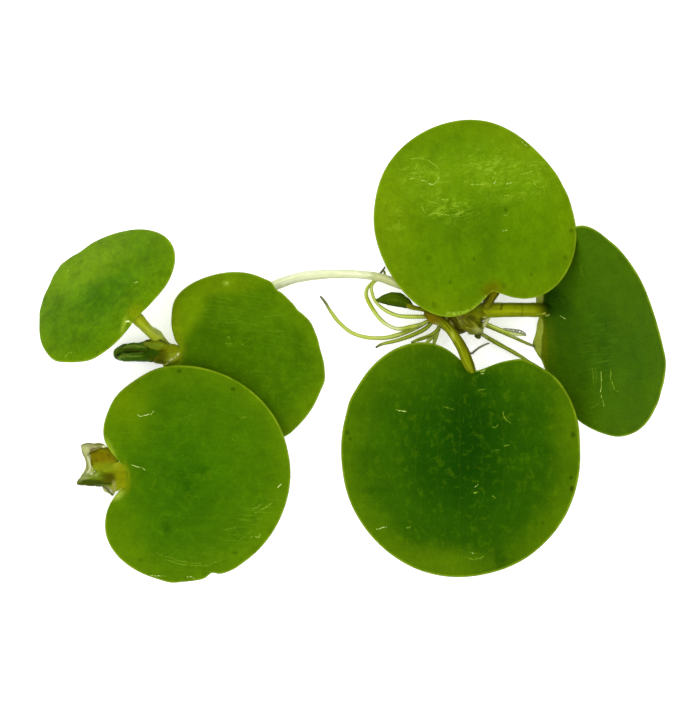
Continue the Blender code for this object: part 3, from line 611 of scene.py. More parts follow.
# Stalks and stolons: points along the middle line, and radii from start to end
STEMS = {
    "stalk_top": (
        (
            (16.91, 5.66, 3.6), (17.22, 6.21, 4.1), (17.57, 6.83, 4.5), (17.97, 7.38, 4.85),
            (18.34, 7.81, 4.95), (18.75, 8.25, 4.9),
        ),
        (0.5, 0.6, 0.62, 0.6, 0.52, 0.35),
    ),
    "stalk_right": (
        (
            (15.13, 5.42, 2.9), (16.76, 5.39, 2.95), (18.28, 5.43, 2.9), (20.8, 5.45, 2.85),
            (22.72, 5.45, 2.6), (23.9, 5.44, 2.1), (24.59, 5.4, 1.5), (25.15, 5.34, 0.98),
            (25.63, 5.24, 0.62), (25.97, 5.16, 0.45),
        ),
        (0.9, 0.98, 0.96, 0.93, 0.93, 0.92, 0.86, 0.72, 0.5, 0.3),
    ),
    "stalk_bottom": (
        (
            (10.21, 5.17, 2.8), (10.82, 4.66, 3.3), (11.56, 4.02, 3.7), (12.54, 2.88, 4.15),
            (13.44, 1.63, 4.45), (14.15, 0.38, 4.5), (14.59, -0.75, 4.42), (15.0, -1.63, 4.15),
            (15.33, -2.21, 3.65), (15.56, -2.64, 3.15),
        ),
        (0.42, 0.52, 0.52, 0.56, 0.64, 0.69, 0.72, 0.68, 0.52, 0.25),
    ),
    "stalk_young": (
        (
            (10.33, 5.17, 3.0), (9.32, 5.44, 3.0), (8.57, 5.6, 2.95), (8.01, 5.72, 2.85),
            (7.57, 5.9, 2.7), (7.13, 6.09, 2.5),
        ),
        (0.26, 0.27, 0.28, 0.31, 0.36, 0.3),
    ),
    "stalk_left_upper": (
        (
            (-22.63, 0.38, 0.75), (-23.39, 0.89, 0.85), (-23.88, 1.33, 1.0), (-24.24, 1.78, 1.45),
            (-24.58, 2.29, 2.9), (-25.01, 2.77, 5.7), (-25.48, 3.53, 8.7), (-26.01, 4.25, 10.4),
            (-26.66, 4.89, 10.3),
        ),
        (0.5, 0.6, 0.72, 0.78, 0.82, 0.68, 0.71, 0.78, 0.4),
    ),
    "stolon_long": (
        (
            (11.61, 6.81, 2.7), (8.58, 7.82, 2.75), (6.56, 8.57, 2.8), (5.05, 9.11, 2.7),
            (3.79, 9.53, 2.55), (2.53, 9.78, 2.4), (1.26, 9.9, 2.25), (0.0, 10.0, 2.1),
            (-1.27, 10.0, 1.9), (-2.53, 10.0, 1.6), (-3.8, 9.92, 1.4), (-5.08, 9.82, 1.2),
            (-6.35, 9.64, 1.05), (-7.62, 9.31, 0.95), (-8.89, 8.87, 0.9), (-9.91, 8.41, 0.88),
            (-12.08, 7.37, 0.82), (-14.62, 5.97, 0.8), (-17.79, 4.19, 0.85), (-20.32, 2.54, 1.0),
            (-21.58, 1.65, 1.2),
        ),
        (
            0.6, 0.6, 0.6, 0.57, 0.55, 0.54, 0.54, 0.57, 0.57, 0.57, 0.6, 0.62, 0.63, 0.63, 0.66,
            0.66, 0.66, 0.66, 0.68, 0.7, 0.7,
        ),
    ),
    "stolon_short": (
        (
            (-22.12, -0.38, 0.8), (-23.03, -2.42, 0.6), (-25.45, -5.35, 0.5), (-27.61, -8.65, 0.6),
            (-29.87, -12.71, 0.8),
        ),
        (0.5, 0.5, 0.5, 0.5, 0.5),
    ),
}

# Roots: points along the middle line, and radius at the start, middle and tip
ROOTS = {
    "root_long": (
        (
            (10.4, 4.25, 1.3), (9.65, 3.87, 1.1), (8.89, 3.46, 0.9), (8.01, 3.06, 0.8),
            (7.12, 2.67, 0.7), (6.23, 2.34, 0.6), (5.22, 2.06, 0.5), (4.2, 1.92, 0.45),
            (3.06, 1.91, 0.45), (2.04, 2.01, 0.45), (1.02, 2.27, 0.42), (0.0, 2.72, 0.4),
            (-1.02, 3.54, 0.4), (-1.78, 4.35, 0.4), (-2.55, 5.44, 0.4), (-3.12, 6.39, 0.38),
            (-3.82, 7.28, 0.35),
        ),
        (
            0.2, 0.22, 0.27, 0.3, 0.3, 0.3, 0.29, 0.27, 0.26, 0.26, 0.25, 0.25, 0.24, 0.23, 0.2,
            0.18, 0.12,
        ),
    ),
    "root_looped": (
        (
            (10.5, 4.36, 2.1), (9.87, 4.05, 1.9), (8.99, 3.61, 1.65), (8.24, 3.42, 1.55),
            (7.48, 3.26, 1.5), (6.59, 3.08, 1.5), (5.83, 3.12, 1.45), (5.07, 3.39, 1.3),
            (4.32, 3.86, 1.15), (3.62, 4.55, 0.95), (3.05, 5.34, 0.75), (2.55, 6.17, 0.5),
            (2.19, 6.88, 0.42), (2.04, 7.51, 0.4), (2.15, 8.09, 0.4), (2.48, 8.62, 0.4),
            (3.06, 9.23, 0.4), (3.82, 10.08, 0.4), (4.52, 11.02, 0.35),
        ),
        (
            0.2, 0.22, 0.27, 0.28, 0.28, 0.27, 0.26, 0.26, 0.26, 0.26, 0.27, 0.26, 0.25, 0.24,
            0.22, 0.2, 0.17, 0.15, 0.1,
        ),
    ),
    "root_inner": (
        (
            (10.61, 4.61, 2.5), (9.47, 4.6, 2.35), (8.22, 4.59, 2.1), (6.96, 4.62, 1.8),
            (6.08, 4.74, 1.55), (5.2, 5.05, 1.4), (4.44, 5.46, 1.3), (3.81, 5.93, 1.2),
            (3.27, 6.54, 1.2), (2.94, 7.17, 1.2), (2.79, 7.74, 1.25), (2.71, 8.31, 1.3),
            (2.98, 8.88, 1.25), (3.68, 9.46, 1.1), (4.38, 9.84, 1.0), (4.36, 10.29, 1.0),
            (4.19, 10.61, 0.95),
        ),
        (
            0.24, 0.26, 0.27, 0.26, 0.25, 0.25, 0.24, 0.22, 0.21, 0.2, 0.2, 0.18, 0.17, 0.16, 0.15,
            0.13, 0.09,
        ),
    ),
    "root_low": (
        (
            (10.64, 4.24, 1.7), (10.2, 3.68, 1.5), (9.7, 3.2, 1.35), (9.01, 2.77, 1.25),
            (8.25, 2.41, 1.25), (7.36, 2.04, 1.25), (6.34, 1.69, 1.25), (5.33, 1.41, 1.15),
            (4.45, 1.22, 1.0), (3.81, 1.02, 0.8), (3.25, 0.66, 0.5),
        ),
        (0.24, 0.24, 0.27, 0.28, 0.27, 0.26, 0.24, 0.22, 0.2, 0.18, 0.13),
    ),
    "root_short": (
        (
            (11.4, 3.42, 1.8), (10.88, 2.72, 1.9), (10.19, 2.24, 1.95), (9.37, 1.92, 1.8),
            (8.56, 1.65, 1.5), (7.75, 1.3, 1.1),
        ),
        (0.22, 0.24, 0.25, 0.24, 0.22, 0.15),
    ),
    "root_under_left": (
        (
            (11.54, 3.93, 1.4), (11.3, 3.3, 1.2), (11.09, 2.67, 1.0), (10.91, 2.03, 0.8),
            (10.73, 1.4, 0.55), (10.51, 0.38, 0.35),
        ),
        (0.26, 0.28, 0.28, 0.27, 0.24, 0.14),
    ),
    "root_under_far_left": (
        (
            (11.43, 3.17, 1.1), (10.93, 2.54, 0.9), (10.36, 1.97, 0.7), (9.86, 1.4, 0.5),
            (9.3, 0.64, 0.35),
        ),
        (0.22, 0.25, 0.26, 0.22, 0.12),
    ),
    "root_right_lower": (
        (
            (15.97, 2.79, 1.6), (16.55, 2.47, 1.35), (17.07, 2.2, 1.25), (17.65, 1.84, 1.15),
            (18.41, 1.4, 1.05), (19.44, 0.84, 0.9), (20.34, 0.36, 0.75), (21.11, -0.08, 0.65),
            (21.89, -0.53, 0.55), (22.66, -1.02, 0.45), (23.94, -1.72, 0.4),
        ),
        (0.24, 0.26, 0.26, 0.27, 0.28, 0.27, 0.26, 0.25, 0.22, 0.18, 0.14),
    ),
    "root_right_upper": (
        (
            (16.56, 3.86, 2.2), (17.21, 3.51, 1.9), (17.86, 3.25, 1.75), (18.63, 2.95, 1.55),
            (19.41, 2.64, 1.35), (20.18, 2.28, 1.15), (20.96, 1.93, 0.95), (21.74, 1.56, 0.75),
            (22.52, 1.23, 0.55), (23.56, 0.81, 0.4),
        ),
        (0.24, 0.25, 0.26, 0.27, 0.28, 0.25, 0.22, 0.2, 0.18, 0.14),
    ),
    "root_bristly": (
        (
            (16.9, 3.85, 2.8), (17.91, 3.41, 2.7), (18.8, 3.03, 2.65), (19.44, 2.78, 2.6),
            (20.07, 2.58, 2.5), (20.71, 2.46, 2.4), (21.35, 2.39, 2.3), (21.86, 2.33, 2.25),
            (22.18, 2.15, 2.2),
        ),
        (0.2, 0.2, 0.22, 0.25, 0.27, 0.27, 0.24, 0.18, 0.08),
    ),
    "root_thread": (
        (
            (13.94, 2.16, 0.5), (14.52, 1.02, 0.35), (15.09, 0.19, 0.3), (15.48, -0.06, 0.3),
            (15.92, 0.28, 0.32), (16.43, 0.66, 0.36), (16.93, 0.94, 0.4), (17.44, 1.16, 0.45),
            (17.82, 1.27, 0.5),
        ),
        (0.14, 0.14, 0.14, 0.14, 0.14, 0.13, 0.12, 0.1, 0.07),
    ),
}

# Crowns: middle, half length, half width, half height, heading
CROWNS = {
    "crown_mother": ((13.6, 4.4, 2.35), 3.0, 1.75, 1.6, 0.0),
    "crown_daughter": ((-22.5, 0.1, 1.1), 0.85, 0.72, 0.7, 60.0),
}

# Lobes are sheaths, scales and folded leaves: points along the middle line, half widths,
# half heights, and the angles round the line at which they are lit or folded in
LOBES = {
    "junction": (
        (
            (9.34, 5.05, 2.6), (9.95, 4.85, 3.0), (10.7, 4.53, 3.2), (11.59, 4.16, 3.1),
            (12.48, 3.53, 2.9),
        ),
        (0.25, 0.69, 0.88, 0.82, 0.5),
        (0.2, 0.5, 0.62, 0.6, 0.4),
    ),
    "dark_fold": (
        (
            (11.21, 4.79, 3.1), (12.08, 4.4, 3.3), (12.77, 3.78, 3.3), (13.33, 3.2, 3.1),
        ),
        (0.31, 0.69, 0.69, 0.19),
        (0.3, 0.55, 0.5, 0.25),
    ),
    "middle_fold": (
        (
            (12.85, 5.04, 3.0), (13.59, 4.4, 3.35), (14.21, 3.65, 3.4), (14.67, 3.08, 3.2),
            (14.94, 2.71, 2.9),
        ),
        (0.38, 0.75, 0.7, 0.4, 0.15),
        (0.3, 0.6, 0.6, 0.4, 0.2),
    ),
    "front_sheath": (
        (
            (13.61, 4.91, 3.0), (14.47, 4.34, 3.35), (15.22, 3.71, 3.5), (15.85, 3.15, 3.35),
            (16.37, 2.71, 3.1), (16.7, 2.46, 2.9),
        ),
        (0.5, 1.01, 1.19, 1.01, 0.63, 0.19),
        (0.4, 0.65, 0.7, 0.55, 0.35, 0.15),
    ),
    "base_sheath": (
        (
            (13.36, 5.54, 3.0), (14.47, 5.22, 3.3), (15.6, 4.97, 3.45), (16.49, 4.78, 3.3),
            (17.26, 4.6, 3.0),
        ),
        (0.5, 1.01, 1.19, 0.94, 0.25),
        (0.5, 0.85, 0.95, 0.8, 0.3),
    ),
    "knob": (
        (
            (15.71, 2.27, 2.7), (16.01, 2.14, 2.8), (16.27, 2.08, 2.8), (16.5, 2.21, 2.75),
        ),
        (0.15, 0.28, 0.3, 0.15),
        (0.12, 0.25, 0.28, 0.12),
    ),
    "scale_mother": (
        (
            (17.63, 4.47, 3.2), (17.28, 4.15, 3.25), (16.97, 3.71, 3.25), (16.7, 3.27, 3.1),
            (16.58, 2.77, 2.95),
        ),
        (0.13, 0.25, 0.3, 0.29, 0.2),
        (0.08, 0.14, 0.16, 0.16, 0.12),
    ),
    "pale_scale": (
        (
            (14.88, 2.47, 2.85), (15.37, 2.52, 3.1), (15.92, 2.72, 3.25), (16.43, 2.98, 3.2),
            (16.88, 3.34, 3.05),
        ),
        (0.13, 0.23, 0.33, 0.35, 0.14),
        (0.08, 0.16, 0.2, 0.2, 0.08),
    ),
    "leaf_young": (
        (
            (3.26, 6.73, 2.0), (3.79, 6.7, 2.05), (4.55, 6.79, 2.15), (5.31, 6.82, 2.25),
            (6.07, 6.72, 2.28), (6.82, 6.45, 2.25), (7.46, 6.09, 2.28), (7.9, 5.81, 2.35),
        ),
        (0.08, 0.38, 0.68, 0.88, 0.92, 0.78, 0.51, 0.23),
        (0.05, 0.22, 0.36, 0.46, 0.48, 0.42, 0.32, 0.2),
    ),
    "leaf_rolled": (
        (
            (-29.76, -0.64, 1.0), (-29.53, -0.43, 1.2), (-29.11, -0.13, 1.35), (-28.28, 0.05, 1.4),
            (-27.14, 0.1, 1.4), (-25.87, 0.15, 1.4), (-24.6, 0.13, 1.4), (-23.59, -0.06, 1.4),
            (-22.83, -0.19, 1.4),
        ),
        (0.25, 0.74, 1.01, 1.17, 1.2, 1.27, 1.31, 1.2, 0.76),
        (0.25, 0.6, 0.85, 1.05, 1.1, 1.15, 1.15, 1.05, 0.8),
    ),
    "rolled_sheath": (
        (
            (-26.16, 1.33, 2.3), (-25.56, 1.26, 2.6), (-24.71, 1.16, 2.85), (-23.83, 0.98, 2.8),
            (-22.99, 0.68, 2.4),
        ),
        (0.15, 0.45, 0.68, 0.68, 0.43),
        (0.1, 0.3, 0.42, 0.4, 0.25),
    ),
    "rolled_edge": (
        (
            (-28.6, 0.89, 1.9), (-27.83, 0.97, 2.05), (-26.8, 0.99, 2.15), (-25.79, 0.94, 2.2),
            (-25.04, 0.85, 2.1),
        ),
        (0.13, 0.28, 0.33, 0.3, 0.19),
        (0.12, 0.26, 0.3, 0.3, 0.2),
    ),
    "rolled_base": (
        (
            (-25.37, -0.38, 1.3), (-24.34, -0.38, 1.45), (-23.46, -0.44, 1.45),
            (-22.7, -0.57, 1.35),
        ),
        (0.76, 0.95, 0.95, 0.51),
        (0.7, 0.95, 0.95, 0.5),
    ),
    "daughter_joint": (
        (
            (-24.09, 0.13, 1.5), (-23.3, 0.0, 1.8), (-22.53, -0.06, 1.85), (-21.9, -0.04, 1.8),
            (-21.34, 0.0, 1.72), (-20.78, 0.06, 1.62),
        ),
        (0.89, 1.2, 1.24, 1.08, 0.76, 0.32),
        (0.7, 0.9, 0.75, 0.5, 0.28, 0.08),
    ),
    "joint_lip": (
        (
            (-23.63, -1.71, 1.65), (-23.1, -1.24, 1.85), (-22.52, -0.76, 2.0),
            (-22.01, -0.42, 2.05), (-21.59, 0.0, 2.05),
        ),
        (0.16, 0.24, 0.24, 0.22, 0.16),
        (0.14, 0.2, 0.2, 0.18, 0.12),
    ),
    "scale_offset_upper": (
        (
            (-30.86, -11.86, 2.1), (-31.53, -11.7, 2.3), (-32.21, -11.82, 2.4),
            (-32.9, -11.95, 2.42), (-33.5, -11.88, 2.35), (-34.03, -11.76, 2.2),
        ),
        (0.15, 0.33, 0.43, 0.62, 0.53, 0.13),
        (0.06, 0.12, 0.14, 0.14, 0.12, 0.06),
    ),
    "scale_side": (
        (
            (-33.8, -11.94, 2.3), (-33.4, -12.64, 2.2), (-33.11, -13.47, 2.1),
            (-32.94, -14.3, 2.0), (-33.01, -15.0, 1.9), (-33.63, -15.7, 1.75),
            (-34.29, -16.23, 1.5),
        ),
        (0.23, 0.42, 0.4, 0.48, 0.63, 0.46, 0.2),
        (0.1, 0.12, 0.12, 0.12, 0.12, 0.12, 0.08),
    ),
    "crown_offset": (
        (
            (-33.26, -13.18, 1.5), (-32.81, -13.24, 1.65), (-32.3, -13.36, 1.7),
            (-31.67, -13.55, 1.7), (-30.92, -13.69, 1.55), (-30.18, -13.89, 1.4),
            (-29.44, -14.15, 1.25),
        ),
        (0.38, 1.11, 1.39, 1.68, 1.81, 1.71, 1.14),
        (0.3, 0.5, 0.58, 0.58, 0.52, 0.46, 0.3),
    ),
    "scale_offset_lower": (
        (
            (-34.73, -16.65, 0.8), (-34.23, -16.39, 1.0), (-33.38, -16.12, 1.2),
            (-32.34, -15.95, 1.38), (-31.31, -15.95, 1.5), (-30.42, -16.05, 1.55),
            (-29.53, -16.16, 1.55),
        ),
        (0.15, 0.46, 0.76, 0.93, 0.99, 0.99, 0.76),
        (0.12, 0.38, 0.62, 0.8, 0.92, 0.85, 0.6),
    ),
    "offset_scale_low": (
        (
            (-31.13, -16.49, 1.4), (-30.63, -17.0, 1.35), (-30.27, -17.51, 1.2),
            (-30.14, -18.14, 0.95),
        ),
        (0.51, 0.76, 0.58, 0.1),
        (0.25, 0.26, 0.2, 0.08),
    ),
    "stalk_left_lower": (
        (
            (-31.58, -14.97, 1.35), (-31.04, -15.08, 1.6), (-30.27, -15.39, 1.75),
            (-29.5, -15.57, 1.8), (-28.87, -15.64, 1.76), (-28.25, -15.68, 1.68),
            (-27.81, -15.71, 1.6),
        ),
        (0.38, 1.01, 1.52, 1.9, 1.71, 1.27, 0.51),
        (0.3, 0.42, 0.42, 0.34, 0.24, 0.12, 0.05),
    ),
}

# Folds of a lobe: angle round its line, spread, how deep, how much painted highlight (above nought) and painted
# shade (below nought) it gives, and from where to where
FOLDS = {
    "leaf_rolled": (
        (80.0, 13.0, 0.3, -0.5, 0.1, 0.6),
        (46.0, 14.0, -0.03, 0.3, 0.1, 0.62),
        (106.0, 11.0, -0.05, 0.25, 0.14, 0.6),
        (200.0, 60.0, 0.0, -0.2, 0.0, 1.0),
    ),
    "leaf_young": (
        (97.0, 9.0, 0.1, 0.18, 0.1, 0.9),
        (60.0, 40.0, 0.0, 0.15, 0.3, 0.9),
        (160.0, 40.0, 0.0, -0.35, 0.0, 1.0),
        (10.0, 20.0, 0.0, -0.3, 0.5, 1.0),
    ),
    "scale_offset_lower": ((60.0, 24.0, -0.02, 0.3, 0.05, 0.6), (112.0, 26.0, 0.08, -0.3, 0.0, 0.9)),
    "crown_offset": ((96.0, 9.0, 0.1, -0.15, 0.1, 0.8),),
    "front_sheath": (
        (55.0, 12.0, 0.16, -0.4, 0.0, 1.0),
        (85.0, 10.0, 0.05, 0.3, 0.1, 0.8),
        (112.0, 12.0, 0.14, -0.35, 0.0, 1.0),
    ),
    "middle_fold": ((70.0, 12.0, 0.15, -0.4, 0.0, 1.0), (105.0, 12.0, 0.12, -0.3, 0.1, 1.0)),
    "dark_fold": ((60.0, 14.0, 0.15, -0.4, 0.0, 1.0), (100.0, 10.0, 0.0, 0.3, 0.2, 0.9)),
    "base_sheath": ((70.0, 14.0, 0.08, -0.2, 0.0, 0.8), (120.0, 16.0, 0.06, -0.15, 0.1, 0.8)),
    "junction": ((60.0, 14.0, 0.14, -0.3, 0.1, 1.0), (110.0, 14.0, 0.1, -0.25, 0.0, 1.0)),
    "rolled_sheath": ((100.0, 22.0, 0.08, 0.25, 0.1, 0.9), (60.0, 12.0, 0.06, -0.25, 0.0, 1.0)),
    "daughter_joint": ((115.0, 12.0, 0.1, -0.25, 0.0, 0.7), (60.0, 12.0, 0.08, -0.2, 0.0, 0.7)),
    "stalk_left_lower": ((75.0, 8.0, 0.1, -0.2, 0.0, 0.6), (105.0, 8.0, 0.1, -0.15, 0.0, 0.6)),
}

# The bristly root's comb of stiff hairs: where each starts and ends, and how thick it is there
COMB = (
    ((19.35, 3.08, 2.83), (19.8, 3.03, 2.83), 0.1, 0.1),
    ((19.8, 3.03, 2.83), (20.3, 2.99, 2.83), 0.1, 0.1),
    ((20.3, 2.99, 2.83), (20.8, 2.93, 2.83), 0.1, 0.1),
    ((20.8, 2.93, 2.83), (21.31, 2.87, 2.83), 0.1, 0.1),
    ((21.31, 2.87, 2.83), (21.76, 2.72, 2.83), 0.1, 0.1),
    ((21.76, 2.72, 2.83), (22.07, 2.47, 2.83), 0.1, 0.1),
    ((22.07, 2.47, 2.83), (22.18, 2.12, 2.83), 0.1, 0.1),
    ((19.75, 3.05, 2.83), (19.5, 2.83, 2.75), 0.13, 0.04),
    ((20.38, 3.0, 2.83), (20.08, 2.77, 2.75), 0.13, 0.04),
    ((20.88, 2.93, 2.83), (20.51, 2.52, 2.75), 0.13, 0.04),
    ((21.31, 2.87, 2.83), (20.94, 2.45, 2.75), 0.13, 0.04),
    ((21.71, 2.77, 2.83), (21.37, 2.4, 2.75), 0.13, 0.04),
    ((21.99, 2.55, 2.83), (21.69, 2.3, 2.75), 0.13, 0.04),
    ((21.11, 2.9, 2.83), (20.84, 2.6, 2.75), 0.13, 0.04),
    ((20.6, 2.98, 2.83), (20.38, 2.75, 2.75), 0.13, 0.04),
)


def seen(red, green, blue):
    """The finish that shows as this screen colour under the studio light."""
    parts = []
    for value in (red, green, blue):
        share = value / 255.0
        linear = share / 12.92 if share <= 0.04045 else ((share + 0.055) / 1.055) ** 2.4
        parts.append(linear / LIGHT_LEVEL)
    return tuple(parts)


def tint(name, description, colour):
    """A colour that a user can change."""
    return FloatVectorProperty(
        name=name,
        description=description,
        default=seen(*colour),
        size=3,
        min=0.0,
        max=1.0,
        subtype="COLOR",
    )


def length(name, description, millimetres):
    """A length that a user can change."""
    return FloatProperty(
        name=name,
        description=description,
        default=millimetres * MM,
        min=0.0,
        precision=5,
        subtype="DISTANCE",
        unit="LENGTH",
    )


class FROGBIT_PG_blades(bpy.types.PropertyGroup):
    """Sizes and colours of the round leaf blades"""

    rim_thickness: length("Rim half thickness", "Half the thickness of a blade", 0.22)
    ripple: length("Ripple", "How far a blade's surface rises and dips", 0.14)
    cell_relief: length("Cell relief", "How far the spongy cells under a blade stand out", 0.16)
    segments: IntProperty(name="Segments", description="Faces round a blade", default=240, min=24)
    rings: IntProperty(name="Rings", description="Faces from top to underside", default=44, min=8)
    # The middle, main and edge greens of each leaf grow lighter towards the rim: partly the thinner margin's own
    # paler green, partly painted light shining through the thin margin
    top_body: tint("Top leaf", "Main green of the top leaf", (91, 129, 1))
    top_heart: tint("Top leaf middle", "Green at the middle of the top leaf", (88, 129, 1))
    top_edge: tint("Top leaf edge", "Green near the rim of the top leaf", (101, 133, 2))
    bottom_body: tint("Bottom leaf", "Main green of the bottom leaf", (54, 97, 1))
    bottom_heart: tint("Bottom leaf middle", "Green at the middle of the bottom leaf", (28, 76, 0))
    bottom_edge: tint("Bottom leaf edge", "Green near the rim of the bottom leaf", (87, 121, 2))
    right_body: tint("Right leaf", "Main green of the right leaf", (62, 100, 3))
    right_heart: tint("Right leaf middle", "Green at the middle of the right leaf", (56, 95, 3))
    right_edge: tint("Right leaf edge", "Green near the rim of the right leaf", (68, 104, 3))
    upper_body: tint("Left upper leaf", "Main green of the left upper leaf", (84, 126, 1))
    upper_heart: tint("Left upper leaf middle", "Green at its middle", (68, 114, 1))
    upper_edge: tint("Left upper leaf edge", "Green near its rim", (94, 132, 2))
    middle_body: tint("Left middle leaf", "Main green of the left middle leaf", (74, 116, 2))
    middle_heart: tint("Left middle leaf middle", "Green at its middle", (74, 115, 1))
    middle_edge: tint("Left middle leaf edge", "Green near its rim", (94, 130, 3))
    lower_body: tint("Left lower leaf", "Main green of the left lower leaf", (72, 116, 2))
    lower_heart: tint("Left lower leaf middle", "Green at its middle", (62, 110, 1))
    lower_edge: tint("Left lower leaf edge", "Green near its rim", (90, 128, 3))
    pad_cells: tint("Spongy cells", "Pale cells of the pad under a blade", (166, 182, 104))
    pad_walls: tint("Cell walls", "Lines between the cells of the pad", (112, 140, 52))
    underside: tint("Underside", "Green of a blade's underside beside the pad", (124, 148, 40))
    under_rim: tint("Underside rim", "Pale green of a blade's rim from below", (164, 178, 76))


class FROGBIT_PG_stems(bpy.types.PropertyGroup):
    """Sizes and colours of the stalks, stolons and roots"""

    sides: IntProperty(name="Sides", description="Faces round a stem", default=24, min=6)
    stalk: tint("Stalk", "Olive green of the leaf stalks", (154, 168, 5))
    stalk_dark: tint("Stalk streaks", "Brownish streaks along the stalks", (126, 136, 3))
    # The light colour of each stalk and root finish gives lighter fibre lines, and also the weaker painted
    # highlight strokes of its marks
    stalk_pale: tint("Stalk lights", "Pale lines along the stalks", (174, 188, 40))
    stalk_deep: tint("Lower stalk", "Deeper olive of the bottom leaf's stalk", (132, 144, 5))
    stalk_brown: tint("Stalk base", "Brown of a stalk by the crown", (92, 86, 1))
    stalk_fresh: tint("Fresh stalk", "Yellow green of the daughter's upper stalk", (178, 192, 50))
    stalk_light: tint("Fresh stalk lights", "Light lines along the daughter's stalk", (202, 213, 96))
    stalk_shade: tint("Stalk shade", "Dark streaks of the deeper stalks", (86, 88, 1))
    stolon: tint("Stolon", "Pale body of the stolons", (246, 250, 208))
    stolon_line: tint("Stolon lines", "Green lines along the stolons", (226, 233, 176))
    stolon_light: tint("Stolon lights", "White lines along the stolons", (254, 254, 240))
    stolon_start: tint("Stolon start", "Grey green of the stolon by the mother plant", (196, 202, 138))
    root: tint("Root", "Pale green of the roots", (196, 211, 88))
    root_core: tint("Root core", "Line that shows through a root", (164, 182, 44))
    root_light: tint("Root lights", "Light streaks along a root", (226, 236, 146))
    root_tip: tint("Root tip", "Grey brown of the root tips", (112, 116, 78))
    root_olive: tint("Older root", "Olive green of the older roots", (152, 170, 44))
    hair: tint("Root hair", "Grey green of the root hairs", (154, 158, 132))


class FROGBIT_PG_crown(bpy.types.PropertyGroup):
    """Colours of the crowns, sheaths, scales and young leaves"""

    brown: tint("Crown", "Olive brown of the crown", (104, 102, 4))
    # Crown folds and Crown lights are the crown's own darker brown and fresh yellow green in soft random patches;
    # on the brown sheaths they are also painted shade in the folds and painted highlight on the ridges and glints
    dark: tint("Crown folds", "Brown in the folds of the crown", (62, 56, 3))
    bright: tint("Crown lights", "Yellow green of the crown's fresh parts", (132, 136, 12))
    sheath: tint("Sheath", "Olive green of the stalk sheaths", (118, 124, 4))
    # Painted light: the sheath's fold shade darkens its folds, and its highlight lightens its ridges and glints
    sheath_fold_shade: tint("Sheath folds", "Dark green in the folds of a sheath", (64, 74, 1))
    sheath_highlight: tint("Sheath lights", "Light lines on a sheath", (158, 164, 50))
    scale: tint("Scale", "Pale papery scale", (184, 190, 124))
    scale_vein: tint("Scale veins", "Brown veins and rims of a scale", (120, 118, 50))
    scale_light: tint("Scale lights", "Nearly white parts of a scale", (222, 226, 176))
    young: tint("Young leaf", "Dark green of the folded young leaf", (66, 92, 1))
    # The young leaf's darker colour is partly its brown tip and partly painted shade on its sides; its light colour
    # is partly its crease and partly painted highlight on its upper side
    young_brown_and_shade: tint("Young leaf shade", "Brown green of its tip", (46, 62, 1))
    young_crease_and_highlight: tint("Young leaf light", "Light green of its crease", (96, 124, 4))
    rolled: tint("Rolled leaf", "Green of the leaf that is still rolled", (62, 100, 1))
    # Painted light: the rolled leaf's groove shade darkens its groove and lower side, and its highlight lightens
    # its rolls and glints
    rolled_groove_shade: tint("Rolled leaf groove", "Dark green of its groove", (26, 62, 0))
    rolled_highlight: tint("Rolled leaf light", "Light ridges of its rolls", (134, 158, 60))
    # On the offset, the band, scale light and lobe highlight colours also paint the weaker highlight strokes of its
    # marks
    cup: tint("Offset crown", "Orange brown of the offset's crown", (126, 120, 3))
    band: tint("Offset band", "Yellow green of the offset's middle", (132, 148, 10))
    lobe: tint("Offset lobe", "Green of the offset's lower lobe", (104, 124, 8))
    # Painted light: the offset lobe is shaded on its lower side and lit on its upper side
    lobe_shade: tint("Offset lobe shade", "Dark green of its lower side", (54, 66, 0))
    lobe_highlight: tint("Offset lobe light", "Pale green of its upper side", (162, 172, 88))


class FROGBIT_PG_stage(bpy.types.PropertyGroup):
    """Camera, floor and light"""

    camera_height: FloatProperty(
        name="Camera height",
        description="Height of the camera over the floor",
        default=0.2501,
        subtype="DISTANCE",
        unit="LENGTH",
    )
    lens: FloatProperty(name="Lens", description="Focal length of the camera", default=100.0, unit="CAMERA")
    ring_light: FloatProperty(name="Ring light", description="Strength of the light all round", default=1.41)
    ceiling: FloatProperty(name="Ceiling light", description="Strength of the light overhead", default=1.19)
    side_light: FloatProperty(
        name="Side light",
        description="Power of the soft light from the upper left",
        default=0.54,
        subtype="POWER",
        unit="POWER",
    )
    glow: FloatProperty(name="Table glow", description="Light that the table itself gives", default=0.5)
    floor: FloatVectorProperty(
        name="Floor",
        description="Colour of the table",
        default=(0.93, 0.93, 0.93),
        size=3,
        subtype="COLOR",
    )


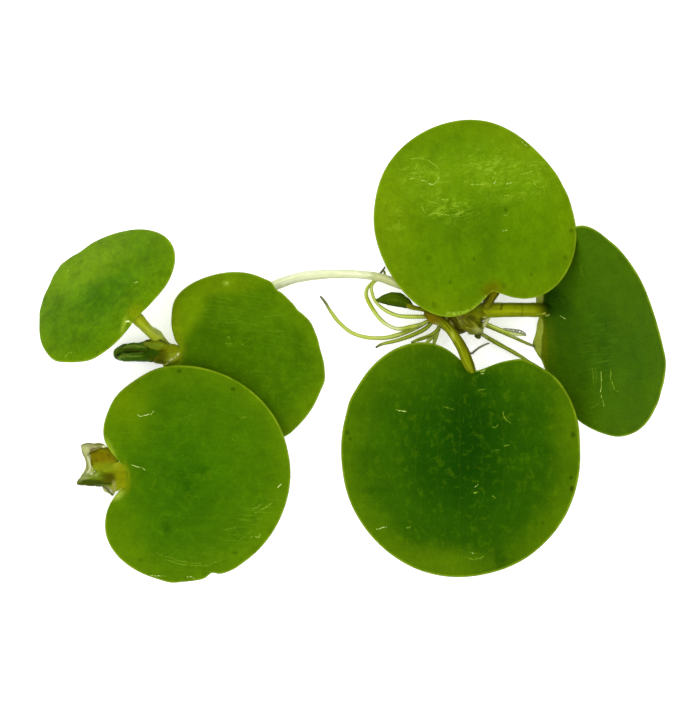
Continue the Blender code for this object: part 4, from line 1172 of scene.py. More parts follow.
class Painter:
    """Adds nodes to one material; each call hands back the socket that it makes."""

    def __init__(self, name):
        self.material = bpy.data.materials.new(name)
        self.material.use_nodes = True
        self.tree = self.material.node_tree
        self.shader = self.tree.nodes["Principled BSDF"]

    def put(self, socket, value):
        """Link a socket, or set its number, vector or colour."""
        if isinstance(value, bpy.types.NodeSocket):
            self.tree.links.new(value, socket)
        elif socket.type == "RGBA" and len(value) == 3:
            socket.default_value = (*value, 1.0)
        else:
            socket.default_value = value

    def add(self, kind, inputs, output, **settings):
        """Add one node and hand back one of its outputs."""
        node = self.tree.nodes.new(kind)
        for key, value in settings.items():
            setattr(node, key, value)
        for key, value in inputs.items():
            self.put(node.inputs[key], value)
        return node.outputs[output]

    def carried(self, name, output="Vector"):
        """What the mesh carries at each point."""
        return self.add("ShaderNodeAttribute", {}, output, attribute_name=name)

    def place(self):
        """Object coordinates in millimetres."""
        where = self.add("ShaderNodeTexCoord", {}, "Object")
        return self.stretch(where, (1000.0, 1000.0, 1000.0))

    def stretch(self, vector, scale, location=(0.0, 0.0, 0.0), turn=0.0):
        """Scale, shift and turn a vector."""
        inputs = {
            "Vector": vector,
            "Location": location,
            "Rotation": (0.0, 0.0, math.radians(turn)),
            "Scale": scale,
        }
        return self.add("ShaderNodeMapping", inputs, "Vector")

    def noise(self, vector, scale, detail=3.0, roughness=0.5, distortion=0.0):
        """Soft noise between nought and one."""
        inputs = {
            "Vector": vector,
            "Scale": scale,
            "Detail": detail,
            "Roughness": roughness,
            "Distortion": distortion,
        }
        return self.add("ShaderNodeTexNoise", inputs, "Fac")

    def cells(self, vector, scale, feature="F1", output="Distance", randomness=1.0):
        """Cells, or the lines between them."""
        inputs = {"Vector": vector, "Scale": scale, "Randomness": randomness}
        return self.add("ShaderNodeTexVoronoi", inputs, output, feature=feature)

    def math(self, operation, first, second=0.0, clamp=False):
        """One sum of numbers."""
        node = self.tree.nodes.new("ShaderNodeMath")
        node.operation = operation
        node.use_clamp = clamp
        self.put(node.inputs[0], first)
        self.put(node.inputs[1], second)
        return node.outputs[0]

    def between(self, value, low, high, to_low=0.0, to_high=1.0):
        """Nought below low, one above high, and smooth between."""
        inputs = {
            "Value": value,
            "From Min": low,
            "From Max": high,
            "To Min": to_low,
            "To Max": to_high,
        }
        return self.add("ShaderNodeMapRange", inputs, "Result", interpolation_type="SMOOTHSTEP")

    def part(self, vector, axis):
        """One of the three numbers of a vector."""
        return self.add("ShaderNodeSeparateXYZ", {"Vector": vector}, axis)

    def mix(self, factor, first, second, blend="MIX"):
        """Two colours in one."""
        node = self.tree.nodes.new("ShaderNodeMix")
        node.data_type = "RGBA"
        node.blend_type = blend
        self.put(node.inputs[0], factor)
        self.put(node.inputs[6], first)
        self.put(node.inputs[7], second)
        return node.outputs[2]

    def lighten(self, colour, value, low, high):
        """Darken or lighten a colour by a number between nought and one."""
        grey = self.add(
            "ShaderNodeMapRange",
            {"Value": value, "To Min": low, "To Max": high},
            "Result",
        )
        return self.add("ShaderNodeVectorMath", {0: colour, 1: self.spread(grey)}, 0, operation="MULTIPLY")

    def spread(self, value):
        """One number as all three of a vector."""
        return self.add("ShaderNodeCombineXYZ", {"X": value, "Y": value, "Z": value}, "Vector")

    def grouped(self, tree, inputs):
        """The result of a node group."""
        node = self.tree.nodes.new("ShaderNodeGroup")
        node.node_tree = tree
        for key, value in inputs.items():
            self.put(node.inputs[key], value)
        return node.outputs[0]

    def bump(self, height, distance, strength=1.0):
        """Relief from a height between nought and one; distance is in millimetres."""
        inputs = {"Height": height, "Distance": distance * MM, "Strength": strength}
        relief = self.add("ShaderNodeBump", inputs, "Normal")
        self.tree.links.new(relief, self.shader.inputs["Normal"])

    def gloss(self, colour, roughness, **plain):
        """Finish the material: linked colour and roughness, and plain numbers for the rest."""
        self.put(self.shader.inputs["Base Color"], colour)
        self.put(self.shader.inputs["Roughness"], roughness)
        for key, value in plain.items():
            self.put(self.shader.inputs[key.replace("_", " ")], value)
        return self.material


def new_group(name, sockets):
    """An empty node group with these inputs and one result."""
    tree = bpy.data.node_groups.new(name, "ShaderNodeTree")
    for label, kind in sockets:
        tree.interface.new_socket(label, in_out="INPUT", socket_type=kind)
    tree.interface.new_socket("Result", in_out="OUTPUT", socket_type="NodeSocketFloat")
    given = tree.nodes.new("NodeGroupInput")
    result = tree.nodes.new("NodeGroupOutput")
    return tree, given, result


def vector_step(tree, operation, *inputs):
    """One vector sum in a node group."""
    node = tree.nodes.new("ShaderNodeVectorMath")
    node.operation = operation
    for index, value in enumerate(inputs):
        tree.links.new(value, node.inputs[index])
    return node


def zone_group():
    """A soft-edged oval: one inside it and nought outside."""
    if "frogbit_zone" in bpy.data.node_groups:
        return bpy.data.node_groups["frogbit_zone"]
    sockets = (
        ("Place", "NodeSocketVector"),
        ("Centre", "NodeSocketVector"),
        ("Half sizes", "NodeSocketVector"),
        ("Turn", "NodeSocketFloat"),
        ("Soft", "NodeSocketFloat"),
    )
    tree, given, result = new_group("frogbit_zone", sockets)
    offset = vector_step(tree, "SUBTRACT", given.outputs["Place"], given.outputs["Centre"])
    turned = tree.nodes.new("ShaderNodeVectorRotate")
    turned.rotation_type = "Z_AXIS"
    tree.links.new(offset.outputs[0], turned.inputs["Vector"])
    back = tree.nodes.new("ShaderNodeMath")
    back.operation = "MULTIPLY"
    back.inputs[1].default_value = -math.pi / 180.0
    tree.links.new(given.outputs["Turn"], back.inputs[0])
    tree.links.new(back.outputs[0], turned.inputs["Angle"])
    scaled = vector_step(tree, "DIVIDE", turned.outputs[0], given.outputs["Half sizes"])
    far = vector_step(tree, "LENGTH", scaled.outputs[0])
    outer = tree.nodes.new("ShaderNodeMath")
    outer.operation = "ADD"
    outer.inputs[0].default_value = 1.0
    tree.links.new(given.outputs["Soft"], outer.inputs[1])
    inner = tree.nodes.new("ShaderNodeMath")
    inner.operation = "SUBTRACT"
    inner.inputs[0].default_value = 1.0
    tree.links.new(given.outputs["Soft"], inner.inputs[1])
    fall = tree.nodes.new("ShaderNodeMapRange")
    fall.interpolation_type = "SMOOTHSTEP"
    tree.links.new(far.outputs["Value"], fall.inputs["Value"])
    tree.links.new(outer.outputs[0], fall.inputs["From Min"])
    tree.links.new(inner.outputs[0], fall.inputs["From Max"])
    tree.links.new(fall.outputs[0], result.inputs[0])
    return tree


def stroke_group():
    """A short straight brush stroke: one on its line and nought beside it."""
    if "frogbit_stroke" in bpy.data.node_groups:
        return bpy.data.node_groups["frogbit_stroke"]
    sockets = (
        ("Place", "NodeSocketVector"),
        ("Start", "NodeSocketVector"),
        ("End", "NodeSocketVector"),
        ("Half width", "NodeSocketFloat"),
    )
    tree, given, result = new_group("frogbit_stroke", sockets)
    offset = vector_step(tree, "SUBTRACT", given.outputs["Place"], given.outputs["Start"])
    line = vector_step(tree, "SUBTRACT", given.outputs["End"], given.outputs["Start"])
    across = vector_step(tree, "DOT_PRODUCT", offset.outputs[0], line.outputs[0])
    whole = vector_step(tree, "DOT_PRODUCT", line.outputs[0], line.outputs[0])
    share = tree.nodes.new("ShaderNodeMath")
    share.operation = "DIVIDE"
    share.use_clamp = True
    tree.links.new(across.outputs["Value"], share.inputs[0])
    tree.links.new(whole.outputs["Value"], share.inputs[1])
    nearest = vector_step(tree, "SCALE", line.outputs[0])
    tree.links.new(share.outputs[0], nearest.inputs["Scale"])
    gap = vector_step(tree, "SUBTRACT", offset.outputs[0], nearest.outputs[0])
    far = vector_step(tree, "LENGTH", gap.outputs[0])
    fall = tree.nodes.new("ShaderNodeMapRange")
    fall.interpolation_type = "SMOOTHSTEP"
    fall.inputs["From Max"].default_value = 0.0
    tree.links.new(far.outputs["Value"], fall.inputs["Value"])
    wide = tree.nodes.new("ShaderNodeMath")
    wide.operation = "MULTIPLY"
    wide.inputs[1].default_value = 1.6
    tree.links.new(given.outputs["Half width"], wide.inputs[0])
    tree.links.new(wide.outputs[0], fall.inputs["From Min"])
    tree.links.new(fall.outputs[0], result.inputs[0])
    return tree


def add_zones(paint, colour, flat, zones):
    """Lay soft patches of colour over a blade or crown; the patches carry the parts' own colours together with
    painted light and shade.
    """
    for along, across, half_long, half_wide, turn, soft, strength, shade in zones:
        inputs = {
            "Place": flat,
            "Centre": (along, across, 0.0),
            "Half sizes": (half_long, half_wide, 1.0),
            "Turn": float(turn),
            "Soft": soft,
        }
        patch = paint.grouped(zone_group(), inputs)
        patch = paint.math("MULTIPLY", patch, strength)
        colour = paint.mix(patch, colour, seen(*shade))
    return colour


def gather_strokes(paint, flat, strokes):
    """The strongest of all the strokes at each point."""
    total = None
    for strength, half_width, points in strokes:
        for start, end in zip(points[:-1], points[1:]):
            inputs = {
                "Place": flat,
                "Start": (*start, 0.0),
                "End": (*end, 0.0),
                "Half width": half_width,
            }
            line = paint.grouped(stroke_group(), inputs)
            line = paint.math("MULTIPLY", line, strength)
            total = line if total is None else paint.math("MAXIMUM", total, line)
    return total


def shaken(paint, flat, reach=0.5):
    """The same places, moved a little this way and that, so that painted lines aren't straight."""
    wobble = paint.add("ShaderNodeTexNoise", {"Vector": flat, "Scale": 1.4, "Detail": 3.0}, "Color")
    wobble = paint.add("ShaderNodeVectorMath", {0: wobble, 1: (-0.5, -0.5, -0.5)}, 0, operation="ADD")
    wobble = paint.add("ShaderNodeVectorMath", {0: wobble, 1: (reach, reach, 0.0)}, 0, operation="MULTIPLY")
    return paint.add("ShaderNodeVectorMath", {0: flat, 1: wobble}, 0, operation="ADD")


def add_marks(paint, colour, marks, light):
    """Patches, dark lines, soft lights and glints on a stalk or crown, as they lie across the table: the patches
    carry own colours and painted light and shade, the dark lines are dark marks and painted shade in creases, and
    the soft lights and glints are painted highlights.
    """
    flat = shaken(paint, paint.stretch(paint.place(), (1.0, 1.0, 0.0)), 0.3)
    colour = add_zones(paint, colour, flat, marks["zones"])
    # Dark strokes: dark marks of the parts together with painted shade in creases, grooves and under edges
    lines = gather_strokes(paint, flat, marks["dark_strokes"])
    colour = paint.mix(lines, colour, seen(58, 62, 4))
    # Painted highlights: weak strokes take the finish's light colour, strong ones a nearly white glint
    lines = gather_strokes(paint, flat, marks["strokes"])
    colour = paint.mix(paint.between(lines, 0.0, 0.5), colour, light)
    return paint.mix(paint.between(lines, 0.5, 0.95, 0.0, 0.9), colour, seen(228, 238, 160))


def add_specks(paint, colour, flat, specks, shade):
    """Small dark specks at named places."""
    for along, across, radius, strength in specks:
        zone = (along, across, radius, radius * 0.8, 0.0, 0.6, strength, shade)
        colour = add_zones(paint, colour, flat, (zone,))
    return colour


def soft_zones(paint, flat, zones):
    """The strongest of several soft patches, with no colour of its own."""
    total = None
    for along, across, half_long, half_wide, turn, soft, strength, shade in zones:
        inputs = {
            "Place": flat,
            "Centre": (along, across, 0.0),
            "Half sizes": (half_long, half_wide, 1.0),
            "Turn": float(turn),
            "Soft": soft,
        }
        patch = paint.math("MULTIPLY", paint.grouped(zone_group(), inputs), strength)
        total = patch if total is None else paint.math("MAXIMUM", total, patch)
    return total


def add_crinkles(paint, colour, drift, flat, marks):
    """Lighter crinkles in some patches, partly the blade's own paler tissue and partly painted highlights on its
    wet wrinkles, and brushed fine streaks in others.
    """
    patch = soft_zones(paint, flat, marks["crinkles"])
    if patch is not None:
        long = paint.stretch(drift, (1.5, 0.75, 1.0))
        wrinkle = paint.noise(long, 0.7, 3.0, 0.6, 0.9)
        ridge = paint.math("ABSOLUTE", paint.math("SUBTRACT", wrinkle, 0.5))
        lines = paint.between(ridge, 0.022, 0.0, 0.0, 0.8)
        blots = paint.between(wrinkle, 0.54, 0.62, 0.0, 0.85)
        factor = paint.math("MULTIPLY", patch, paint.math("MAXIMUM", lines, blots))
        colour = paint.mix(factor, colour, seen(*marks["crinkles"][0][7]))
    for zone in marks["brushed"]:
        patch = soft_zones(paint, flat, (zone,))
        fine = paint.stretch(drift, (0.3, 5.5, 1.0), turn=-zone[4])
        lines = paint.between(paint.noise(fine, 1.0, 3.0, 0.65), 0.52, 0.68)
        colour = paint.mix(paint.math("MULTIPLY", patch, lines), colour, seen(*zone[7]))
    return colour


def blade_finish(name, body, heart, edge, blades, seed, streak_turn, mottle, shine):
    """Glossy green above, with veins, mottles, scratches, painted shade along valleys and painted highlights
    (glints and a light rim); pale spongy cells below.
    """
    paint = Painter(name)
    marks = LEAF_MARKS[name]
    lay = paint.carried("lay")
    reach = paint.carried("run", "Fac")
    side = paint.part(lay, "Z")
    flat = paint.stretch(lay, (1.0, 1.0, 0.0))
    drift = paint.stretch(lay, (1.0, 1.0, 0.0), (seed * 7.3, seed * 3.1, seed * 5.7))
    broad = paint.noise(drift, 0.16, 3.0, 0.55)
    small = paint.noise(drift, 0.55, 4.0, 0.6)
    fine = paint.noise(drift, 2.4, 3.0, 0.6)
    # Heart to edge the green grows lighter: partly the thin margin's own paler green, partly painted light shining
    # through it
    wander = paint.math("ADD", reach, paint.math("MULTIPLY", paint.math("SUBTRACT", broad, 0.5), 0.35))
    colour = paint.mix(paint.between(wander, 0.15, 0.6), heart, body)
    colour = paint.mix(paint.between(wander, 0.7, 1.0), colour, edge)
    colour = add_zones(paint, colour, flat, marks["zones"])
    blots = paint.noise(drift, 0.95, 4.0, 0.65, 0.6)
    colour = paint.lighten(colour, broad, 0.84, 1.16)
    colour = paint.lighten(colour, small, 1.0 - 0.24 * mottle, 1.0 + 0.22 * mottle)
    colour = paint.lighten(colour, blots, 1.0 - 0.2 * mottle, 1.0 + 0.22 * mottle)
    colour = paint.lighten(colour, fine, 1.0 - 0.12 * mottle, 1.0 + 0.12 * mottle)
    fresh = paint.math("MULTIPLY", paint.between(blots, 0.52, 0.66), 0.3 * mottle)
    colour = paint.mix(fresh, colour, edge)
    streaked = paint.stretch(drift, (0.35, 4.5, 1.0), turn=streak_turn)
    streaks = paint.noise(streaked, 1.0, 3.0, 0.6)
    colour = paint.lighten(colour, streaks, 0.9, 1.1)
    veins = add_veins(paint, flat, small)
    colour = paint.mix(paint.math("MULTIPLY", veins, 0.08), colour, edge)
    net = paint.cells(drift, 2.2, "DISTANCE_TO_EDGE")
    netted = paint.between(net, 0.0, 0.12)
    colour = paint.lighten(colour, netted, 0.95, 1.0)
    colour = add_crinkles(paint, colour, drift, flat, marks)
    colour = add_specks(paint, colour, flat, marks["specks"], (34, 52, 2))
    brush = shaken(paint, flat)
    # Dark strokes: a scratch on the top leaf, and painted shade along the valley of the right leaf
    dark = gather_strokes(paint, brush, marks["dark_strokes"])
    if dark is not None:
        colour = paint.mix(dark, colour, seen(40, 60, 4))
    # Painted highlights: these strokes are glints off the wet surface, light green where weak and nearly white
    # where strong
    light = gather_strokes(paint, brush, marks["strokes"])
    grain = paint.noise(drift, 3.2, 3.0, 0.7)
    light = paint.math("MULTIPLY", light, paint.between(grain, 0.36, 0.56, 0.15, 1.0))
    colour = paint.mix(paint.between(light, 0.0, 0.6), colour, seen(154, 186, 48))
    colour = paint.mix(paint.between(light, 0.5, 0.95, 0.0, 0.9), colour, seen(236, 246, 190))
    # Painted highlight: a light line along the rim, where the thin margin catches the light
    rim = paint.between(reach, 0.976, 0.993)
    rim = paint.math("MULTIPLY", rim, paint.between(small, 0.3, 0.65, 0.3, 0.85))
    colour = paint.mix(rim, colour, seen(138, 164, 26))
    below = under_blade(paint, drift, reach, blades, edge)
    above = paint.between(side, -0.1, 0.02)
    colour = paint.mix(above, below, colour)
    sponge = paint.cells(drift, 0.85, "DISTANCE_TO_EDGE")
    relief = paint.math("MULTIPLY", paint.between(sponge, 0.0, 0.3), paint.math("SUBTRACT", 1.0, above))
    upper = paint.math("ADD", paint.math("MULTIPLY", netted, 0.25), paint.math("MULTIPLY", fine, 0.5))
    upper = paint.math("ADD", upper, paint.math("MULTIPLY", veins, 0.3))
    upper = paint.math("ADD", upper, paint.math("MULTIPLY", small, 0.8))
    height = paint.math("ADD", relief, paint.math("MULTIPLY", upper, 0.4))
    paint.bump(height, 0.12, 0.7)
    rough = paint.between(fine, 0.2, 0.8, 0.22, 0.4)
    return paint.gloss(
        colour,
        rough,
        Specular_IOR_Level=shine,
        Specular_Tint=(0.55, 1.0, 0.1),
    )


def add_veins(paint, flat, small):
    """Curved veins that leave the stalk, bow out and meet again at the tip, with cross veins."""
    along = paint.part(flat, "X")
    across = paint.part(flat, "Y")
    spread = paint.math("MULTIPLY", along, paint.math("MULTIPLY", along, -0.0045))
    spread = paint.math("MAXIMUM", paint.math("ADD", spread, 1.0), 0.12)
    bowed = paint.math("DIVIDE", across, spread)
    wobble = paint.math("MULTIPLY", paint.math("SUBTRACT", small, 0.5), 1.2)
    phase = paint.math("MULTIPLY", paint.math("ADD", bowed, wobble), 2.2)
    wave = paint.math("COSINE", phase)
    long_veins = paint.between(wave, 0.93, 1.0)
    steps = paint.math("COSINE", paint.math("ADD", paint.math("MULTIPLY", along, 2.7), paint.math("MULTIPLY", wobble, 3.0)))
    cross_veins = paint.between(steps, 0.96, 1.0, 0.0, 0.4)
    return paint.math("MAXIMUM", long_veins, cross_veins)


def under_blade(paint, drift, reach, blades, edge):
    """The underside: a pad of pale air cells in the middle and plain green round it."""
    walls = paint.cells(drift, 0.85, "DISTANCE_TO_EDGE")
    pad = paint.mix(paint.between(walls, 0.02, 0.16), blades.pad_walls, blades.pad_cells)
    shade = paint.cells(drift, 0.85, "F1", "Color")
    pad = paint.lighten(pad, paint.part(shade, "X"), 0.88, 1.08)
    ring = paint.between(reach, 0.82, 0.9)
    pale = paint.mix(paint.between(walls, 0.0, 0.3), blades.underside, blades.under_rim)
    green = paint.mix(paint.between(reach, 0.86, 0.97), blades.underside, pale)
    return paint.mix(ring, pad, green)


def fibre_finish(name, body, dark, light, lines, start=None, tip=None, marks=None, side_shade=0.42, shine=0.06):
    """Long fine lines along a stem, with painted shade on its two sides and painted light along its top, and other
    colours at its two ends.
    """
    paint = Painter(name)
    lay = paint.carried("lay")
    run = paint.carried("run", "Fac")
    streaks = paint.noise(paint.stretch(lay, (lines, lines, 0.14)), 1.0, 3.0, 0.6)
    spots = paint.noise(paint.stretch(lay, (1.0, 1.0, 0.9)), 1.3, 4.0, 0.6)
    colour = paint.mix(paint.between(streaks, 0.34, 0.56), dark, body)
    colour = paint.mix(paint.between(streaks, 0.56, 0.76, 0.0, 0.8), colour, light)
    drift = paint.math("MULTIPLY", paint.math("SUBTRACT", spots, 0.5), 0.15)
    end = paint.math("ADD", run, drift)
    if start is not None:
        colour = paint.mix(paint.between(end, start[1], start[2], 1.0, 0.0), colour, start[0])
    if tip is not None:
        colour = paint.mix(paint.between(end, tip[1], 1.0), colour, tip[0])
    if marks is not None:
        colour = add_marks(paint, colour, marks, light)
    colour = paint.lighten(colour, spots, 0.8, 1.16)
    # Painted shade and light: the stem grows darker towards its two sides and lighter along its top
    flank_shade = paint.math("ABSOLUTE", paint.part(lay, "X"))
    colour = paint.lighten(colour, flank_shade, 1.0 + side_shade * 0.3, 1.0 - side_shade * 0.7)
    paint.bump(streaks, 0.06, 0.6)
    rough = paint.between(spots, 0.2, 0.8, 0.3, 0.5)
    return paint.gloss(colour, rough, Specular_IOR_Level=shine, Specular_Tint=(0.8, 1.0, 0.3))


def fold_finish(name, body, dark, light, lines, marks=None, shine=0.06):
    """Fine fibres along a sheath or folded leaf, with painted shade in its folds and painted highlights on its
    ridges.
    """
    paint = Painter(name)
    lay = paint.carried("lay")
    # The lit value carries the painted light and shade of the folds; random fibres and patches move it up and down
    lit = paint.carried("run", "Fac")
    fibres = paint.noise(paint.stretch(lay, (lines, lines, 0.3)), 1.0, 3.0, 0.6)
    patches = paint.noise(paint.stretch(lay, (1.0, 1.0, 1.1)), 1.3, 4.0, 0.65)
    drift = paint.math("MULTIPLY", paint.math("SUBTRACT", patches, 0.5), 0.35)
    drift = paint.math("ADD", drift, paint.math("MULTIPLY", paint.math("SUBTRACT", fibres, 0.5), 0.45))
    lit = paint.math("ADD", lit, drift)
    colour = paint.mix(paint.between(lit, 0.1, 0.5), dark, body)
    colour = paint.mix(paint.between(lit, 0.55, 0.95), colour, light)
    if marks is not None:
        colour = add_marks(paint, colour, marks, light)
    colour = paint.lighten(colour, fibres, 0.76, 1.22)
    colour = paint.lighten(colour, patches, 0.76, 1.22)
    paint.bump(fibres, 0.08, 0.7)
    rough = paint.between(patches, 0.2, 0.8, 0.28, 0.5)
    return paint.gloss(colour, rough, Specular_IOR_Level=shine, Specular_Tint=(0.8, 1.0, 0.3))


def crown_finish(colours):
    """Olive brown with fibres, darker and lighter in soft random patches, with the mother crown's marks and their
    painted shade and highlights.
    """
    paint = Painter("crown")
    place = paint.place()
    folds = paint.noise(place, 0.9, 4.0, 0.6, 0.6)
    fibres = paint.noise(paint.stretch(place, (0.5, 3.5, 1.5), turn=12.0), 1.2, 4.0, 0.6)
    colour = paint.mix(paint.between(folds, 0.36, 0.58), colours.dark, colours.brown)
    colour = paint.mix(paint.between(folds, 0.56, 0.74, 0.0, 0.85), colour, colours.bright)
    # Painted highlights: the weak highlight strokes of the mother crown's marks take this light olive
    colour = add_marks(paint, colour, CROWN_MARKS["mother"], seen(158, 164, 50))
    colour = paint.lighten(colour, fibres, 0.7, 1.25)
    paint.bump(fibres, 0.15, 0.8)
    rough = paint.between(fibres, 0.2, 0.8, 0.35, 0.6)
    return paint.gloss(colour, rough, Specular_IOR_Level=0.1, Specular_Tint=(0.9, 1.0, 0.4))


def floor_finish(colour, glow):
    """A plain pale light table, with the faintest unevenness."""
    paint = Painter("table")
    cloud = paint.noise(paint.place(), 0.01, 2.0)
    shade = paint.lighten(paint.mix(0.0, colour, colour), cloud, 0.985, 1.0)
    light = (1.0, 1.0, 1.0, 1.0)
    return paint.gloss(shade, 0.75, Specular_IOR_Level=0.1, Emission_Color=light, Emission_Strength=glow)


def moulded(name, segments, rings, shape, material):
    """A round ball of clay; shape says where each point goes, and what the point carries."""
    clay = bmesh.new()
    lay = clay.verts.layers.float_vector.new("lay")
    run = clay.verts.layers.float.new("run")
    bmesh.ops.create_uvsphere(clay, u_segments=segments, v_segments=rings, radius=1.0)
    for point in clay.verts:
        place, carried, share = shape(point.co.copy())
        point[lay] = carried
        point[run] = share
        point.co = place * MM
    for face in clay.faces:
        face.smooth = True
    bmesh.ops.recalc_face_normals(clay, faces=clay.faces)
    return finished(name, clay, material)


def finished(name, clay, material):
    """Turn modelled clay into a piece that rides on the plant."""
    mesh = bpy.data.meshes.new(name)
    clay.to_mesh(mesh)
    clay.free()
    mesh.materials.append(material)
    piece = bpy.data.objects.new(name, mesh)
    bpy.context.scene.collection.objects.link(piece)
    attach(piece, "root")
    return piece


def rim_radius(leaf, around):
    """Distance from a blade's middle to its rim, at an angle measured from the notch."""
    depth, width, power, turn = leaf["notch"]
    radius = 1.0
    for order, (cosine, sine) in enumerate(leaf["swell"], start=2):
        radius += cosine * math.cos(order * around) + sine * math.sin(order * around)
    off = abs((around - turn + math.pi) % (2.0 * math.pi) - math.pi)
    radius = leaf["radius"] * radius * (1.0 - depth * math.exp(-((off / width) ** power)))
    for where, bite, spread in leaf["nicks"]:
        off = abs((around - math.radians(where) + math.pi) % (2.0 * math.pi) - math.pi)
        radius -= bite * math.exp(-((math.degrees(off) / spread) ** 2))
    return radius


def curled(leaf, along, across, height):
    """Bend a flat point of a blade about the line across it."""
    curve = math.radians(leaf["curl"]) / 24.0
    if curve == 0.0:
        return Vector((along, across, height))
    angle = curve * along
    x = math.sin(angle) / curve + height * math.sin(angle)
    z = (math.cos(angle) - 1.0) / curve + height * math.cos(angle)
    return Vector((x, across, z))


def blade_shape(leaf, blades, seed):
    """A round blade with a notch: thin at the rim, with spongy cells under its middle."""
    angles = [math.radians(leaf[key]) for key in ("roll", "pitch", "heading")]
    turn = Euler(angles, "XYZ").to_matrix()
    middle = Vector(leaf["middle"]) - MIDDLE
    half = blades.rim_thickness / MM
    ripple = blades.ripple / MM
    relief = blades.cell_relief / MM

    def shape(point):
        x, y, z = point
        reach = min(1.0, math.hypot(x, y))
        angle = math.atan2(y, -x)
        around = angle - 0.4 * math.sin(angle)
        radius = rim_radius(leaf, around) * reach
        if leaf["lip"] > 0.0 and z < -0.05:
            side = (around + 0.32) / 0.42
            radius += leaf["lip"] * reach**4 * math.exp(-(side**2)) * min(1.0, -2.2 * z)
        along = leaf["shift"][0] - radius * math.cos(around)
        across = leaf["shift"][1] + radius * math.sin(around)
        spot = Vector((along, across, seed * 9.0))
        edge = half * math.sqrt(abs(z))
        swell = max(0.0, 1.0 - (reach / 0.86) ** 2) ** 0.8
        height = edge
        if z <= 0.0:
            cells = noise.voronoi(spot / 1.5)[0]
            height = -edge - leaf["pad"] * swell
            height -= relief * min(1.0, 6.0 * swell) * min(1.0, (cells[1] - cells[0]) / 0.4)
        wave = noise.noise(spot / 6.5) + 0.5 * noise.noise(spot / 2.8)
        height += ripple * wave * (1.0 - 0.6 * reach**6) - leaf["dome"] * reach**2
        place = middle + turn @ curled(leaf, along, across, height)
        place.z = max(place.z, 0.02)
        return place, Vector((along, across, z)), reach

    return shape


def line_point(points, share):
    """A point of the smooth line through every named point."""
    spans = len(points) - 1
    index = min(spans - 1, int(share * spans))
    t = share * spans - index
    before = points[max(0, index - 1)]
    start = points[index]
    end = points[index + 1]
    after = points[min(spans, index + 2)]
    first = (end - before) * t
    second = (2.0 * before - 5.0 * start + 4.0 * end - after) * t**2
    third = (3.0 * start - before - 3.0 * end + after) * t**3
    return 0.5 * (2.0 * start + first + second + third)


def smooth_value(values, share):
    """A number from a smooth line through all the named ones."""
    return line_point([Vector((value, 0.0, 0.0)) for value in values], share).x


def stem_rings(points, rings):
    """Middle, two cross directions and length so far at each ring of a stem."""
    middles = [line_point(points, index / rings) for index in range(rings + 1)]
    result = []
    gone = 0.0
    cross = None
    for index, middle in enumerate(middles):
        ahead = middles[min(rings, index + 1)] - middles[max(0, index - 1)]
        ahead.normalize()
        if cross is None:
            cross = Vector((0.0, 0.0, 1.0)).cross(ahead)
            if cross.length < 0.2:
                cross = Vector((1.0, 0.0, 0.0)).cross(ahead)
        cross = (cross - ahead * cross.dot(ahead)).normalized()
        if index:
            gone += (middle - middles[index - 1]).length
        result.append((middle, cross.copy(), ahead.cross(cross), gone))
    return result


def ring_of(point, rings):
    """Which ring of a ball a point belongs to, from its lower pole up."""
    return round((1.0 - math.acos(max(-1.0, min(1.0, point.z))) / math.pi) * rings)


def stem_shape(points, radii, rings):
    """A stalk, stolon or root: round, slightly ridged and uneven along its line."""
    table = stem_rings(points, rings)
    whole = table[-1][3]
    seed = points[0].x * 3.7

    def shape(point):
        index = ring_of(point, rings)
        angle = math.atan2(point.y, point.x)
        middle, cross, over, gone = table[index]
        radius = max(0.03, smooth_value(radii, index / rings))
        radius *= 1.0 + 0.06 * noise.noise(Vector((seed, gone * 0.8, 0.0)))
        radius *= 1.0 + 0.02 * math.cos(6.0 * angle + 0.4 * gone)
        near = min(1.0, min(gone, whole - gone) / max(0.01, radius))
        radius *= math.sqrt(max(0.0, 1.0 - (1.0 - near) ** 2))
        place = middle - MIDDLE + (cross * math.cos(angle) + over * math.sin(angle)) * radius
        place.z = max(place.z, 0.02)
        return place, Vector((math.cos(angle), math.sin(angle), gone)), index / rings

    return shape


def lobe_shape(points, widths, heights, rings, folds):
    """A sheath, scale or folded leaf: wide one way and flatter the other, with folds along it that also carry
    painted light and shade to its finish.
    """
    table = stem_rings(points, rings)
    whole = table[-1][3]
    seed = points[0].x * 2.3 + points[0].y

    def shape(point):
        index = ring_of(point, rings)
        angle = math.atan2(point.y, point.x)
        middle, cross, over, gone = table[index]
        share = index / rings
        wide = max(0.03, smooth_value(widths, share))
        tall = max(0.03, smooth_value(heights, share))
        size = 1.0
        # lit carries painted light and shade: each fold lightens or darkens the finish at its angle round the line
        lit = 0.5
        for where, spread, deep, light, first, last in folds:
            off = math.degrees(angle) - where
            off = abs((off + 180.0) % 360.0 - 180.0)
            fade = min(1.0, max(0.0, (share - first) / 0.08 + 0.5), max(0.0, (last - share) / 0.08 + 0.5))
            strong = math.exp(-((off / spread) ** 2)) * fade
            size -= deep * strong
            lit += light * strong
        spot = Vector((math.cos(angle) * wide, math.sin(angle) * tall, gone + seed * 5.0))
        size *= 1.0 + 0.09 * noise.noise(spot * 1.6) + 0.04 * noise.noise(spot * 4.5)
        near = min(1.0, min(gone, whole - gone) / max(0.01, min(wide, tall)))
        size *= math.sqrt(max(0.0, 1.0 - (1.0 - near) ** 2))
        place = middle - MIDDLE + cross * (math.cos(angle) * wide * size)
        place += over * (math.sin(angle) * tall * size)
        place.z = max(place.z, 0.02)
        return place, Vector((math.cos(angle) * wide, math.sin(angle) * tall, gone)), lit

    return shape


